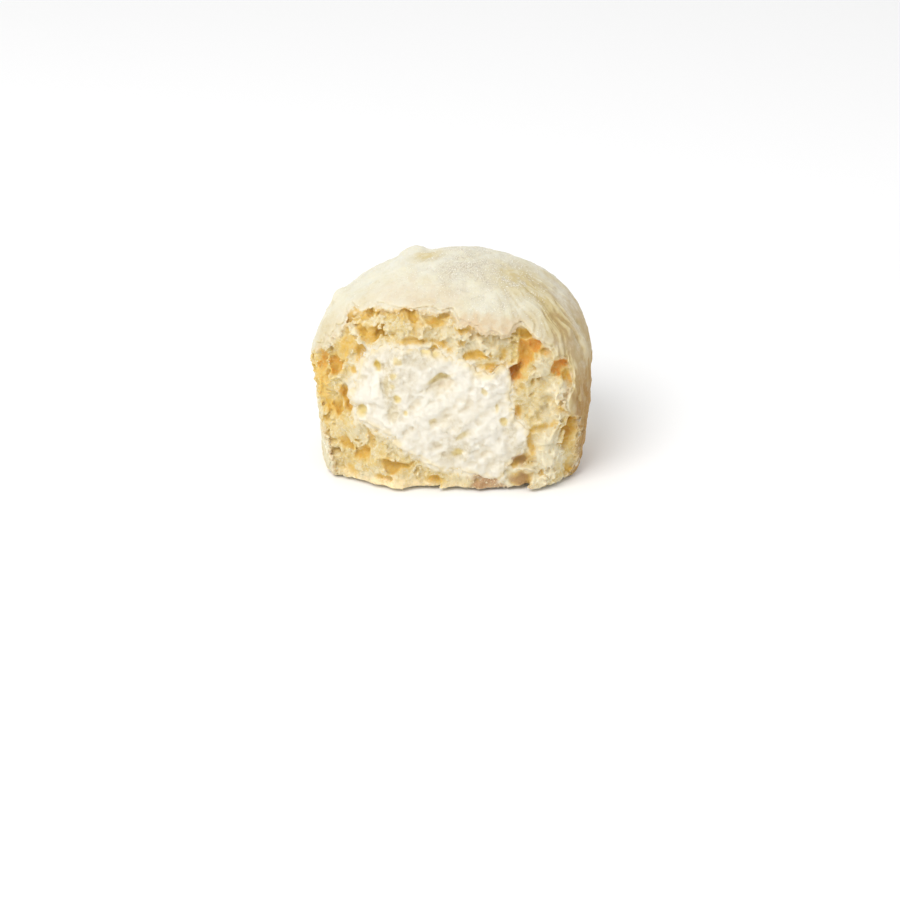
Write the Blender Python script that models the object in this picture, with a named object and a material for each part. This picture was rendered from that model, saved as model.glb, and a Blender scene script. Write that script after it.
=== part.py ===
"""Milk bun torn open at the front, with a whipped cream filling.

Two closed solids, in metres, +Z up: the bread and the cream that runs through it.
The bun stands on its flat base at z = 0 and its torn face looks towards -Y.
"""
import math
import random

import bmesh
import bpy
from mathutils import Vector, noise
from mathutils.geometry import intersect_point_line

MM = 0.001

# The whole bun, before it was torn
HALF_WIDTH = 41.7 * MM
HALF_DEPTH = 34.2 * MM
MIDDLE_X = 0.1 * MM
MIDDLE_Y = -3.6 * MM
HEIGHT = 66.0 * MM
WAIST = 33.0 * MM           # height of the widest ring
PLAN_POWER = 2.48           # 2 would be an ellipse seen from above
DOME_POWER = 1.94           # 2 would be an ellipse seen from the side
DOME_LEAN = 0.12            # rounder shoulder on the right, straighter on the left
BASE_NARROWING = 0.073      # how much narrower the base is than the waist
BASE_ROUND = 3.0 * MM       # height of the rounding round the base
BASE_ROUND_SHARE = 0.03     # how far that rounding draws the outline in
RINGS_BELOW = 8
RINGS_ABOVE = 15
RING_SIDES = 64

# Soft bumps and dents in the crust: x, y, z, radius, height
CRUST_BUMPS = (
    (-9.0, -10.0, 66.0, 5.5, 1.7),
    (-4.5, -14.0, 66.0, 3.0, -0.8),
    (-35.0, -6.0, 52.0, 8.0, 1.4),
    (-25.0, -6.0, 60.0, 7.0, -1.0),
    (26.0, -10.0, 58.0, 9.0, -0.6),
    (-40.0, -8.0, 18.0, 9.0, -1.0),
    (30.0, 14.0, 50.0, 12.0, 0.7),
    (-16.0, 24.0, 46.0, 12.0, -0.6),
)
CRUST_WAVE = 0.5 * MM
CRUST_WAVE_LENGTH = 15.0 * MM

# The tear: edge of the crust round the torn face, seen from the front, as x, z
CRUST_EDGE = (
    (-48.0, -8.0), (-48.0, 38.0), (-41.0, 43.5), (-36.5, 46.0), (-31.0, 51.5), (-27.0, 55.8),
    (-17.0, 57.7), (-8.0, 58.0), (0.5, 57.0), (8.0, 53.6), (14.5, 51.5), (19.0, 53.2),
    (23.5, 51.2), (27.5, 46.6), (31.6, 42.6), (34.6, 40.0), (35.4, 30.0), (35.6, 21.5),
    (39.0, 15.5), (37.2, 7.6), (35.0, -8.0),
)
TEAR_Y = -27.0 * MM
TEAR_RAGGED = 1.9 * MM      # depth of the uneven torn crumb
EDGE_RAGGED = 0.8 * MM
TEAR_RAGGED_LENGTH = 6.0 * MM
EDGE_RAGGED_LENGTH = 3.5 * MM
EDGE_STEEPNESS = 14.0       # slope of the cut that leaves the crust's edge standing
LIP_UNDERCUT = 2.6 * MM     # how far the crumb lies back behind the crust's edge
LIP_WIDTH = 2.2 * MM
LIP_FADE = 9.0 * MM
LEFT_TURN = -15.0 * MM      # the torn face curves back to the left of this x
LEFT_REACH = 23.0 * MM
LEFT_RECESS = 12.0 * MM
RIGHT_TURN = 29.0 * MM      # and to the right of this one, low down
RIGHT_REACH = 8.0 * MM
RIGHT_RECESS = 9.0 * MM
RIGHT_HEIGHT = 24.0 * MM
TEAR_STEP = 2.3 * MM
TEAR_LOW = (-48.0 * MM, -4.0 * MM)      # the corners of the uneven sheet, as x, z
TEAR_HIGH = (48.0 * MM, 64.0 * MM)

# Clumps of crumb that stand forward: x, z, radius, height
CRUMB_CLUMPS = (
    (-23.0, 53.2, 3.2, 1.8),
    (3.0, 51.5, 5.0, 1.4),
    (26.5, 41.0, 4.2, 2.2),
    (31.5, 30.6, 3.2, 1.6),
    (27.0, 11.5, 4.6, 1.6),
    (-34.0, 35.5, 3.0, 1.2),
    (-31.0, 20.0, 4.0, 1.2),
    (-17.0, 3.0, 5.5, 1.2),
    (10.0, 47.0, 3.6, 1.0),
)

# Large hollows of the crumb: x, z, half width, half height, depth, tilt in degrees
LARGE_HOLLOWS = (
    (-23.5, 55.6, 6.5, 1.9, 5.5, 4),
    (-29.6, 52.0, 2.0, 3.6, 5.0, -30),
    (-22.0, 50.4, 4.4, 2.6, 7.0, 8),
    (-11.6, 54.6, 2.6, 4.0, 6.0, 35),
    (-3.5, 55.4, 3.2, 1.6, 4.5, 0),
    (-37.5, 42.0, 2.2, 3.2, 5.0, 0),
    (-33.5, 41.0, 3.0, 3.4, 6.0, 10),
    (-27.2, 45.6, 2.6, 2.8, 5.0, 0),
    (-35.2, 30.0, 2.6, 5.0, 5.0, 0),
    (-30.2, 25.4, 2.0, 4.6, 5.0, 15),
    (20.6, 50.2, 3.0, 2.6, 6.0, 20),
    (20.6, 44.0, 2.5, 5.6, 7.5, 14),
    (18.2, 38.2, 2.3, 2.8, 8.5, 0),
    (31.0, 39.8, 2.9, 2.9, 6.0, 0),
    (33.2, 33.4, 1.7, 2.6, 4.5, 20),
    (19.8, 25.8, 1.4, 1.7, 4.5, 0),
    (25.3, 20.4, 2.8, 2.2, 5.0, 30),
    (35.2, 17.8, 2.4, 5.2, 5.0, -10),
    (20.4, 12.4, 3.4, 3.6, 7.0, 20),
    (-26.4, 11.6, 3.0, 2.2, 5.0, -10),
    (-31.5, 14.8, 3.0, 1.5, 4.5, -20),
    (-14.6, 8.0, 4.6, 2.0, 5.0, -5),
    (-22.0, 15.2, 1.6, 2.6, 4.0, 0),
    (-3.6, 4.2, 4.0, 1.7, 4.5, 10),
    (30.0, 12.0, 1.8, 3.0, 4.5, 10),
)
HOLLOW_SET_BACK = 0.8 * MM  # how far a hollow's middle lies behind the torn face
HOLLOW_UNEVEN = 0.16
HOLLOW_DETAIL = 2

# Smaller pores, scattered over the torn crumb
PORE_COUNT = 70
PORE_RADIUS = (0.9 * MM, 1.9 * MM)
PORE_DETAIL = 1
PORE_SEED = 23
PORE_APART = 0.8            # least distance of two hollows, as a share of their radii
PORE_DEPTH = 1.7            # depth of a pore as a share of its radius
PORE_LOW = (-40.0 * MM, 2.5 * MM)
PORE_HIGH = (37.0 * MM, 57.0 * MM)
PORE_EDGE_CLEAR = 0.5 * MM
PORE_CREAM_CLEAR = 1.2 * MM

# The cream, seen from the front, as x, z of its edge in the torn face
CREAM_EDGE = (
    (-29.6, 29.6), (-27.6, 36.0), (-25.0, 43.2), (-18.5, 46.3), (-12.0, 46.0), (-5.0, 44.8),
    (2.2, 42.0), (7.0, 39.8), (11.5, 40.4), (16.0, 39.4), (17.4, 35.0), (17.2, 29.0),
    (18.4, 22.5), (22.0, 17.6), (16.4, 11.6), (14.6, 4.2), (9.6, 4.4), (4.5, 6.4),
    (-2.0, 7.2), (-8.0, 10.2), (-14.0, 14.4), (-20.0, 19.4), (-27.6, 22.4),
)
CREAM_CENTRE = (-3.0, 26.0)
CREAM_REACH = (27.0 * MM, 21.0 * MM)
CREAM_FRONT = 0.7 * MM      # how far the cream stands forward of the torn crumb
CREAM_BULGE = 1.6 * MM
CREAM_BACK = 15.0 * MM      # y of its back end
CREAM_ROUND = 23.0 * MM     # its radius towards the back end, where its outline is plain
CREAM_LUMP = 1.3 * MM
CREAM_LUMP_LENGTH = 5.0 * MM
CREAM_LUMP_PLACE = Vector((3.0, 1.0, 0.0))
CREAM_TAPER = 0.8
CREAM_SIDES = 60
CREAM_STEP = 1.7 * MM
CREAM_LOW = (-35.0 * MM, -1.0 * MM)
CREAM_HIGH = (28.0 * MM, 52.0 * MM)

# Peaks and dips of the cream's face: x, z, radius, height
CREAM_RELIEF = (
    (-26.2, 25.6, 1.8, -2.2),
    (-3.3, 35.6, 3.6, -2.0),
    (-21.0, 39.6, 2.0, -1.6),
    (-10.5, 30.0, 3.0, -1.4),
    (1.0, 12.0, 3.0, -1.4),
    (8.0, 20.0, 3.4, 1.2),
    (-22.5, 31.0, 3.4, 1.4),
    (13.0, 34.5, 3.2, 1.4),
    (-15.0, 22.0, 3.0, 1.0),
)
CREAM_BODY_RINGS = 10
POCKET_GAP = 0.35 * MM
MOUTH_Y = -60.0 * MM
CUTTER_FRONT = -75.0 * MM

MERGE = 0.02 * MM
SMOOTH_LIMIT = math.radians(50)


def clear_scene():
    for item in list(bpy.data.objects):
        bpy.data.objects.remove(item, do_unlink=True)


def make_material(name, colour, roughness):
    material = bpy.data.materials.new(name)
    material.use_nodes = True
    shader = material.node_tree.nodes["Principled BSDF"]
    shader.inputs["Base Color"].default_value = (*colour, 1.0)
    shader.inputs["Roughness"].default_value = roughness
    shader.inputs["Metallic"].default_value = 0.0
    return material


def new_object(name, mesh):
    item = bpy.data.objects.new(name, mesh)
    bpy.context.scene.collection.objects.link(item)
    return item


def mesh_from(bm, name):
    bmesh.ops.recalc_face_normals(bm, faces=bm.faces)
    mesh = bpy.data.meshes.new(name)
    bm.to_mesh(mesh)
    bm.free()
    return mesh


def signed_power(value, power):
    return math.copysign(abs(value) ** power, value)


def smooth(value):
    value = min(1.0, max(0.0, value))
    return value * value * (3.0 - 2.0 * value)


def crust_point(angle, scale, z):
    """A point of the crust: angle round the bun, share of the full outline, height."""
    across = signed_power(math.cos(angle), 2.0 / PLAN_POWER)
    along = signed_power(math.sin(angle), 2.0 / PLAN_POWER)
    x = MIDDLE_X + HALF_WIDTH * scale * across
    y = MIDDLE_Y + HALF_DEPTH * scale * along
    return Vector((x, y, z))


def crust_relief(point):
    """Height of the bumps, dents and slow waves of the crust at a point."""
    wave = noise.noise(point / CRUST_WAVE_LENGTH) * CRUST_WAVE
    for x, y, z, radius, height in CRUST_BUMPS:
        away = (point - Vector((x, y, z)) * MM).length / (radius * MM)
        wave += height * MM * math.exp(-away * away)
    return wave


def crust_rings():
    """Rings of points from the base up to just below the crown."""
    rings = []
    for step in range(RINGS_BELOW):
        z = WAIST * (step / RINGS_BELOW) ** 1.4
        narrowing = BASE_NARROWING * (1.0 - z / WAIST) ** 2
        corner = BASE_ROUND_SHARE * max(0.0, 1.0 - z / BASE_ROUND) ** 2
        ring = []
        for side in range(RING_SIDES):
            angle = math.tau * side / RING_SIDES
            ring.append(crust_point(angle, 1.0 - narrowing - corner, z))
        rings.append(ring)
    for step in range(RINGS_ABOVE):
        rise = 0.5 * math.pi * step / RINGS_ABOVE
        ring = []
        for side in range(RING_SIDES):
            angle = math.tau * side / RING_SIDES
            power = 2.0 / (DOME_POWER + DOME_LEAN * math.cos(angle))
            z = WAIST + (HEIGHT - WAIST) * math.sin(rise) ** power
            ring.append(crust_point(angle, math.cos(rise) ** power, z))
        rings.append(ring)
    return rings


def loft(bm, rings):
    """Join rings of points by quads; returns the vertices of each ring."""
    levels = [[bm.verts.new(point) for point in ring] for ring in rings]
    for lower, upper in zip(levels, levels[1:]):
        count = len(lower)
        for side in range(count):
            after = (side + 1) % count
            bm.faces.new((lower[side], lower[after], upper[after], upper[side]))
    return levels


def close_with_point(bm, ring, point):
    tip = bm.verts.new(point)
    for side, vertex in enumerate(ring):
        bm.faces.new((vertex, ring[(side + 1) % len(ring)], tip))


def whole_bun():
    bm = bmesh.new()
    levels = loft(bm, crust_rings())
    bm.faces.new(levels[0])
    close_with_point(bm, levels[-1], Vector((MIDDLE_X, MIDDLE_Y, HEIGHT)))
    bmesh.ops.recalc_face_normals(bm, faces=bm.faces)
    bm.normal_update()
    moves = [(vert, vert.normal.copy() * crust_relief(vert.co)) for vert in bm.verts]
    for vert, move in moves:
        if vert.co.z > BASE_ROUND:
            vert.co += move
    return new_object("bun", mesh_from(bm, "bun"))


def edge_distance(x, z, outline):
    """Distance to a closed outline in the XZ plane, positive inside it."""
    point = Vector((x, z))
    nearest = math.inf
    inside = False
    for first, second in zip(outline, outline[1:] + outline[:1]):
        foot, share = intersect_point_line(point, first, second)
        foot = first.lerp(second, min(1.0, max(0.0, share)))
        nearest = min(nearest, (point - foot).length)
        if (first.y > z) != (second.y > z):
            crossing = first.x + (z - first.y) / (second.y - first.y) * (second.x - first.x)
            inside = inside != (x < crossing)
    return nearest if inside else -nearest


def tear_face(x, z):
    """The smooth torn face: flat in front, curving back at its left and lower right."""
    left = max(0.0, (LEFT_TURN - x) / LEFT_REACH) ** 1.6
    low = smooth(1.3 - z / RIGHT_HEIGHT)
    right = min(1.3, max(0.0, (x - RIGHT_TURN) / RIGHT_REACH) ** 1.5 * low)
    return TEAR_Y + LEFT_RECESS * left + RIGHT_RECESS * right


def bumps_at(x, z, bumps):
    """Sum of round bumps, each given in millimetres as x, z, radius and height."""
    total = 0.0
    for bump_x, bump_z, radius, height in bumps:
        away = math.hypot(x - bump_x * MM, z - bump_z * MM) / (radius * MM)
        total += height * MM * math.exp(-away * away)
    return total


def tear_surface(x, z, outline):
    """Y of the torn surface, with the crust's ragged lip and the uneven crumb."""
    here = Vector((x, 0.0, z))
    inner = edge_distance(x, z, outline)
    inner += noise.noise(here / EDGE_RAGGED_LENGTH) * EDGE_RAGGED
    if inner < 0.0:
        return TEAR_Y + inner * EDGE_STEEPNESS
    y = tear_face(x, z)
    y += LIP_UNDERCUT * smooth(inner / LIP_WIDTH) * math.exp(-inner / LIP_FADE)
    y += noise.fractal(here / TEAR_RAGGED_LENGTH, 0.6, 2.0, 2) * TEAR_RAGGED
    return y - bumps_at(x, z, CRUMB_CLUMPS)


def sheet_cutter(name, surface, low, high, step):
    """A block in front of an uneven sheet, whose y is a function of x and z."""
    columns = round((high[0] - low[0]) / step)
    rows = round((high[1] - low[1]) / step)
    bm = bmesh.new()
    grid = []
    for row in range(rows + 1):
        line = []
        for column in range(columns + 1):
            x = low[0] + (column + 0.5 * (row % 2)) * step
            z = low[1] + row * step
            y = max(0.9 * CUTTER_FRONT, surface(x, z))
            line.append(bm.verts.new((x, y, z)))
        grid.append(line)
    for lower, upper in zip(grid, grid[1:]):
        for column in range(columns):
            bm.faces.new((lower[column], lower[column + 1], upper[column + 1], upper[column]))
    bmesh.ops.triangulate(bm, faces=bm.faces, quad_method="SHORT_EDGE")
    sheet = bmesh.ops.extrude_face_region(bm, geom=bm.faces[:])
    for item in sheet["geom"]:
        if isinstance(item, bmesh.types.BMVert):
            item.co.y = CUTTER_FRONT
    return new_object(name, mesh_from(bm, name))


def hollow_cutter(name, centre, half_sizes, tilt, detail):
    """A squashed, slightly lumpy ball, tilted in the torn face."""
    bm = bmesh.new()
    bmesh.ops.create_icosphere(bm, subdivisions=detail, radius=1.0)
    turn_cos = math.cos(tilt)
    turn_sin = math.sin(tilt)
    for vert in bm.verts:
        uneven = 1.0 + HOLLOW_UNEVEN * noise.noise(vert.co * 1.3 + centre / (4.0 * MM))
        x, y, z = (vert.co[axis] * half_sizes[axis] * uneven for axis in range(3))
        vert.co = centre + Vector((x * turn_cos - z * turn_sin, y, x * turn_sin + z * turn_cos))
    return new_object(name, mesh_from(bm, name))


def large_hollows():
    cutters = []
    for number, (x, z, wide, high, deep, tilt) in enumerate(LARGE_HOLLOWS):
        y = tear_face(x * MM, z * MM) + HOLLOW_SET_BACK
        centre = Vector((x * MM, y, z * MM))
        sizes = (wide * MM, deep * MM, high * MM)
        name = f"hollow {number}"
        cutters.append(hollow_cutter(name, centre, sizes, math.radians(tilt), HOLLOW_DETAIL))
    return cutters


def pore_cutters(outline, cream):
    """Smaller pores, clear of each other, of the large hollows and of the cream."""
    draw = random.Random(PORE_SEED)
    taken = [(x * MM, z * MM, max(wide, high) * MM) for x, z, wide, high, _, _ in LARGE_HOLLOWS]
    cutters = []
    while len(cutters) < PORE_COUNT:
        x = draw.uniform(PORE_LOW[0], PORE_HIGH[0])
        z = draw.uniform(PORE_LOW[1], PORE_HIGH[1])
        radius = draw.uniform(*PORE_RADIUS)
        flatness = draw.uniform(0.75, 1.0)
        tilt = draw.uniform(-0.8, 0.8)
        if edge_distance(x, z, outline) < radius + PORE_EDGE_CLEAR:
            continue
        if edge_distance(x, z, cream) > -radius - PORE_CREAM_CLEAR:
            continue
        if any(math.hypot(x - a, z - b) < PORE_APART * (radius + c) for a, b, c in taken):
            continue
        taken.append((x, z, radius))
        centre = Vector((x, tear_face(x, z) + HOLLOW_SET_BACK, z))
        sizes = (radius, PORE_DEPTH * radius, radius * flatness)
        cutters.append(hollow_cutter(f"pore {len(cutters)}", centre, sizes, tilt, PORE_DETAIL))
    return cutters


def spline_outline(points, count):
    """A closed smooth curve through points, read at even steps of its length."""
    fine = []
    total = len(points)
    for index in range(total):
        before, first, second, after = (points[(index + k) % total] for k in (-1, 0, 1, 2))
        for step in range(8):
            t = step / 8
            a = first * 2.0 + (second - before) * t
            b = (before * 2.0 - first * 5.0 + second * 4.0 - after) * t * t
            c = (first * 3.0 - before - second * 3.0 + after) * t * t * t
            fine.append((a + b + c) * 0.5)
    lengths = [0.0]
    for first, second in zip(fine, fine[1:] + fine[:1]):
        lengths.append(lengths[-1] + (second - first).length)
    outline = []
    place = 0
    for step in range(count):
        target = lengths[-1] * step / count
        while lengths[place + 1] < target:
            place += 1
        share = (target - lengths[place]) / (lengths[place + 1] - lengths[place])
        outline.append(fine[place].lerp(fine[(place + 1) % len(fine)], share))
    return outline


def cream_front(x, z):
    """Y of the cream's lumpy face, which bulges a little in its middle."""
    centre = Vector(CREAM_CENTRE) * MM
    away = math.hypot((x - centre.x) / CREAM_REACH[0], (z - centre.y) / CREAM_REACH[1])
    lumps = noise.fractal(Vector((x, 0.0, z)) / CREAM_LUMP_LENGTH + CREAM_LUMP_PLACE, 0.7, 2.0, 3)
    y = tear_face(x, z) - CREAM_FRONT - CREAM_BULGE * (1.0 - min(1.2, away) ** 2)
    return y + lumps * CREAM_LUMP - bumps_at(x, z, CREAM_RELIEF)


def cream_body_rings(edge, centre, swell):
    """Rings from the edge of the face, back into the bun, where the cream rounds off."""
    rings = []
    for step in range(CREAM_BODY_RINGS + 1):
        turn = 0.5 * math.pi * step / (CREAM_BODY_RINGS + 1)
        ring = []
        for corner in edge:
            radial = corner - centre
            outward = radial.normalized()
            rounded = outward * CREAM_ROUND
            radius = radial.lerp(rounded, smooth(turn)) * math.cos(turn) ** CREAM_TAPER
            place = centre + radius + outward * swell
            rim = tear_face(corner.x, corner.y)
            y = rim + (CREAM_BACK + swell - rim) * math.sin(turn)
            ring.append(Vector((place.x, y, place.y)))
        rings.append(ring)
    return rings


def cream_body(name, swell):
    """The cream run straight out through the torn face; the pocket is a little wider."""
    centre = Vector(CREAM_CENTRE) * MM
    edge = spline_outline([Vector(point) * MM for point in CREAM_EDGE], CREAM_SIDES)
    rings = cream_body_rings(edge, centre, swell)
    mouth = [Vector((point.x, MOUTH_Y, point.z)) for point in rings[0]]
    bm = bmesh.new()
    levels = loft(bm, [mouth] + rings)
    bm.faces.new(levels[0])
    close_with_point(bm, levels[-1], Vector((centre.x, CREAM_BACK + swell, centre.y)))
    return new_object(name, mesh_from(bm, name))


def cut_away(solid, cutters):
    """Cut a collection of cutters out of a solid and keep its largest piece."""
    group = bpy.data.collections.new("cutters")
    for cutter in cutters:
        bpy.context.scene.collection.objects.unlink(cutter)
        group.objects.link(cutter)
    bpy.context.scene.collection.children.link(group)
    cut = solid.modifiers.new("cut", "BOOLEAN")
    cut.operation = "DIFFERENCE"
    cut.operand_type = "COLLECTION"
    cut.collection = group
    cut.solver = "EXACT"
    bpy.context.view_layer.update()
    shape = solid.evaluated_get(bpy.context.evaluated_depsgraph_get())
    solid.data = bpy.data.meshes.new_from_object(shape)
    solid.modifiers.clear()
    for cutter in cutters:
        bpy.data.objects.remove(cutter, do_unlink=True)
    bpy.data.collections.remove(group)
    keep_largest(solid.data)


def keep_largest(mesh):
    bm = bmesh.new()
    bm.from_mesh(mesh)
    left = set(bm.verts)
    islands = []
    while left:
        stack = [left.pop()]
        island = list(stack)
        while stack:
            for edge in stack.pop().link_edges:
                for vert in edge.verts:
                    if vert in left:
                        left.remove(vert)
                        stack.append(vert)
                        island.append(vert)
        islands.append(island)
    islands.sort(key=len)
    for island in islands[:-1]:
        bmesh.ops.delete(bm, geom=island, context="VERTS")
    bmesh.ops.remove_doubles(bm, verts=bm.verts, dist=MERGE)
    bmesh.ops.dissolve_degenerate(bm, edges=bm.edges, dist=MERGE)
    bmesh.ops.triangulate(bm, faces=bm.faces)
    bm.to_mesh(mesh)
    bm.free()


def finish(item, material):
    item.data.materials.clear()
    item.data.materials.append(material)
    item.data.shade_smooth()
    item.data.set_sharp_from_angle(angle=SMOOTH_LIMIT)


def build():
    clear_scene()
    crumb = make_material("milk bread", (0.84, 0.70, 0.42), 0.85)
    white = make_material("whipped cream", (0.95, 0.92, 0.82), 0.5)
    outline = [Vector((x, z)) * MM for x, z in CRUST_EDGE]
    cream_edge = [Vector((x, z)) * MM for x, z in CREAM_EDGE]

    def tear(x, z):
        return tear_surface(x, z, outline)

    bun = whole_bun()
    cutters = [sheet_cutter("tear", tear, TEAR_LOW, TEAR_HIGH, TEAR_STEP)]
    cutters.append(cream_body("pocket", POCKET_GAP))
    cutters += large_hollows()
    cutters += pore_cutters(outline, cream_edge)
    cut_away(bun, cutters)

    cream = cream_body("cream", 0.0)
    face = sheet_cutter("face", cream_front, CREAM_LOW, CREAM_HIGH, CREAM_STEP)
    cut_away(cream, [face])

    finish(bun, crumb)
    finish(cream, white)


build()
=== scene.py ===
import math

import bpy
import numpy as np
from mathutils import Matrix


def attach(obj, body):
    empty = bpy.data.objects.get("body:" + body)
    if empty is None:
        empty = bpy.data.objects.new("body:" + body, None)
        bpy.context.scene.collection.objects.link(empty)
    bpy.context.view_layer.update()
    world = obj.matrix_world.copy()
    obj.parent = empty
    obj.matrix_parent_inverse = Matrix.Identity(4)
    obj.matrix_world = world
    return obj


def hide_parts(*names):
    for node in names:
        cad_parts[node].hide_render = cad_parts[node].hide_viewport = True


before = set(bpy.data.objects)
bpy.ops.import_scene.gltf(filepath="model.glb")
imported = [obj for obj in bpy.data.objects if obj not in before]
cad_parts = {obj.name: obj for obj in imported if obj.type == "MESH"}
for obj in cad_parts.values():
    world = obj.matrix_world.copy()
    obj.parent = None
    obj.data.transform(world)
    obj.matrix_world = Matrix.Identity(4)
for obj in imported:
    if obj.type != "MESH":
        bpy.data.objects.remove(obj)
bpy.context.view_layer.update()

import openvdb
from mathutils import Vector, noise

# A milk bun torn open at the front, with whipped cream inside.
# Shapes are worked out in millimetres as distance fields, then meshed in metres.
mm = 0.001
farOff = 9.0                  # what a field says where nothing is near


def smooth(low, high, value):
    t = np.clip((value - low) / (high - low), 0.0, 1.0)
    return t * t * (3.0 - 2.0 * t)


def smoothMax(a, b, width):
    h = np.clip(0.5 + 0.5 * (a - b) / width, 0.0, 1.0)
    return b * (1.0 - h) + a * h + width * h * (1.0 - h)


def gridAxes(low, high, step):
    return [np.arange(a, b, step, dtype=np.float32) for a, b in zip(low, high)]


def latticeNoise(points, length, seed, octaves=1, gain=0.5):
    # smooth random values, about -1 to 1, at any points in millimetres
    side = 64
    turn = np.array(((0.36, 0.48, -0.8), (-0.8, 0.6, 0.0), (0.48, 0.64, 0.6)), dtype=np.float32)
    place = points.astype(np.float32) / np.asarray(length, dtype=np.float32)
    total = np.zeros(len(points), dtype=np.float32)
    height = 1.0
    for octave in range(octaves):
        table = np.random.default_rng((seed, octave)).uniform(-1.0, 1.0, side ** 3).astype(np.float32)
        whole = np.floor(place).astype(np.int32)
        share = place - whole
        share = share * share * (3.0 - 2.0 * share)
        ends = (whole & (side - 1), (whole + 1) & (side - 1))
        weights = (1.0 - share, share)
        for a in (0, 1):
            for b in (0, 1):
                row = (ends[a][:, 0] * side + ends[b][:, 1]) * side
                across = weights[a][:, 0] * weights[b][:, 1] * height
                for c in (0, 1):
                    total += table[row + ends[c][:, 2]] * across * weights[c][:, 2]
        height *= gain
        place = place @ turn * 2.03
    return total


def splineWeights(t):
    return (
        (1.0 - t) ** 3 / 6.0,
        (3.0 * t ** 3 - 6.0 * t ** 2 + 4.0) / 6.0,
        (-3.0 * t ** 3 + 3.0 * t ** 2 + 3.0 * t + 1.0) / 6.0,
        t ** 3 / 6.0,
    )


def cloudNoise(axes, length, seed, octaves=1, gain=0.5):
    # smooth random values, about -1 to 1, on the whole grid that the axes span
    draw = np.random.default_rng(seed)
    total = 0.0
    height = 1.0
    for _ in range(octaves):
        counts = [int((axis[-1] - axis[0]) / length) + 5 for axis in axes]
        field = draw.uniform(-2.2, 2.2, counts).astype(np.float32)
        for number, axis in enumerate(axes):
            place = (axis - axis[0]) / length
            index = place.astype(int)
            weights = splineWeights(place - index)
            shape = [1] * field.ndim
            shape[number] = len(axis)
            parts = [np.take(field, index + k, axis=number) * w.reshape(shape)
                     for k, w in enumerate(weights)]
            field = (parts[0] + parts[1] + parts[2] + parts[3]).astype(np.float32)
        total = total + field * height
        height *= gain
        length *= 0.5
    return total


def nearSurface(field, axes, width):
    # the grid's points close to a surface: their indices and their places
    index = np.nonzero(np.abs(field) < width)
    return index, np.stack([axis[i] for axis, i in zip(axes, index)], axis=1)


def sampleField(field, axes, points):
    # trilinear reading of a field at points given in millimetres
    step = axes[0][1] - axes[0][0]
    place = [(points[:, k] - axes[k][0]) / step for k in range(3)]
    index = [np.clip(p.astype(int), 0, field.shape[k] - 2) for k, p in enumerate(place)]
    share = [np.clip(p - i, 0.0, 1.0) for p, i in zip(place, index)]
    total = 0.0
    for corner in np.ndindex(2, 2, 2):
        value = field[tuple(i + end for i, end in zip(index, corner))]
        for part, end in zip(share, corner):
            value = value * (part if end else 1.0 - part)
        total = total + value
    return total


def sheetCell(sheetX, sheetZ, x, z):
    # the row and column of a sheet in which a place lies
    return int((x - sheetX[0]) / (sheetX[1] - sheetX[0])), int((z - sheetZ[0]) / (sheetZ[1] - sheetZ[0]))


def sampleSheet(sheet, x, z, points):
    # bilinear reading of a sheet over x and z at the same kind of points
    row = np.clip((points[:, 0] - x[0]) / (x[1] - x[0]), 0, len(x) - 1.001)
    column = np.clip((points[:, 2] - z[0]) / (z[1] - z[0]), 0, len(z) - 1.001)
    i, j = row.astype(int), column.astype(int)
    u, w = row - i, column - j
    return (sheet[i, j] * (1 - u) + sheet[i + 1, j] * u) * (1 - w) + \
        (sheet[i, j + 1] * (1 - u) + sheet[i + 1, j + 1] * u) * w


def boxBlur(field, radius):
    width = 2 * radius + 1
    for axis in (0, 1, 2, 0, 1, 2):
        pad = [(0, 0)] * 3
        pad[axis] = (radius + 1, radius)
        sums = np.cumsum(np.pad(field, pad, mode="edge"), axis=axis, dtype=np.float32)
        lower = np.arange(field.shape[axis])
        field = (np.take(sums, lower + width, axis=axis) - np.take(sums, lower, axis=axis)) / width
    return field


def slowNoise(x, z, length, place=(0.0, 0.0, 0.0), octaves=0, gain=0.6):
    # the same slow noise as the solids have, over a sheet of x and z
    coarseX, coarseZ = (np.arange(axis[0] - 1.0, axis[-1] + 2.0, 0.7) for axis in (x, z))
    values = np.zeros((len(coarseX), len(coarseZ)), dtype=np.float32)
    shift = Vector(place)
    for i, across in enumerate(coarseX):
        for j, up in enumerate(coarseZ):
            point = Vector((across / length, 0.0, up / length)) + shift
            values[i, j] = noise.fractal(point, gain, 2.0, octaves) if octaves else noise.noise(point)
    rows = np.array([np.interp(x, coarseX, column) for column in values.T]).T
    return np.array([np.interp(z, coarseZ, row) for row in rows], dtype=np.float32)


def bumpSheet(x, z, bumps):
    total = np.zeros((len(x), len(z)), dtype=np.float32)
    for bumpX, bumpZ, radius, height in bumps:
        away = ((x[:, None] - bumpX) ** 2 + (z[None, :] - bumpZ) ** 2) / radius ** 2
        total += height * np.exp(-away)
    return total


def patchSheet(x, z, patches):
    # the strongest of some soft patches: x, z, half width, half height, strength, tilt
    total = np.zeros((len(x), len(z)), dtype=np.float32)
    bendX = slowNoise(x, z, 2.6, place=(1.0, 8.0, 3.0), octaves=2)
    bendZ = slowNoise(x, z, 2.6, place=(6.0, 2.0, 7.0), octaves=2)
    for patchX, patchZ, wide, high, strength, *tilt in patches:
        angle = math.radians(tilt[0] if tilt else 0.0)
        bend = min(2.2, 0.7 * wide, 0.7 * high)
        dx = x[:, None] - patchX + bendX * bend
        dz = z[None, :] - patchZ + bendZ * bend
        along = (dx * math.cos(angle) + dz * math.sin(angle)) / wide
        over = (dz * math.cos(angle) - dx * math.sin(angle)) / high
        total = np.maximum(total, strength * smooth(1.35, 0.6, np.sqrt(along ** 2 + over ** 2)))
    return total


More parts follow.
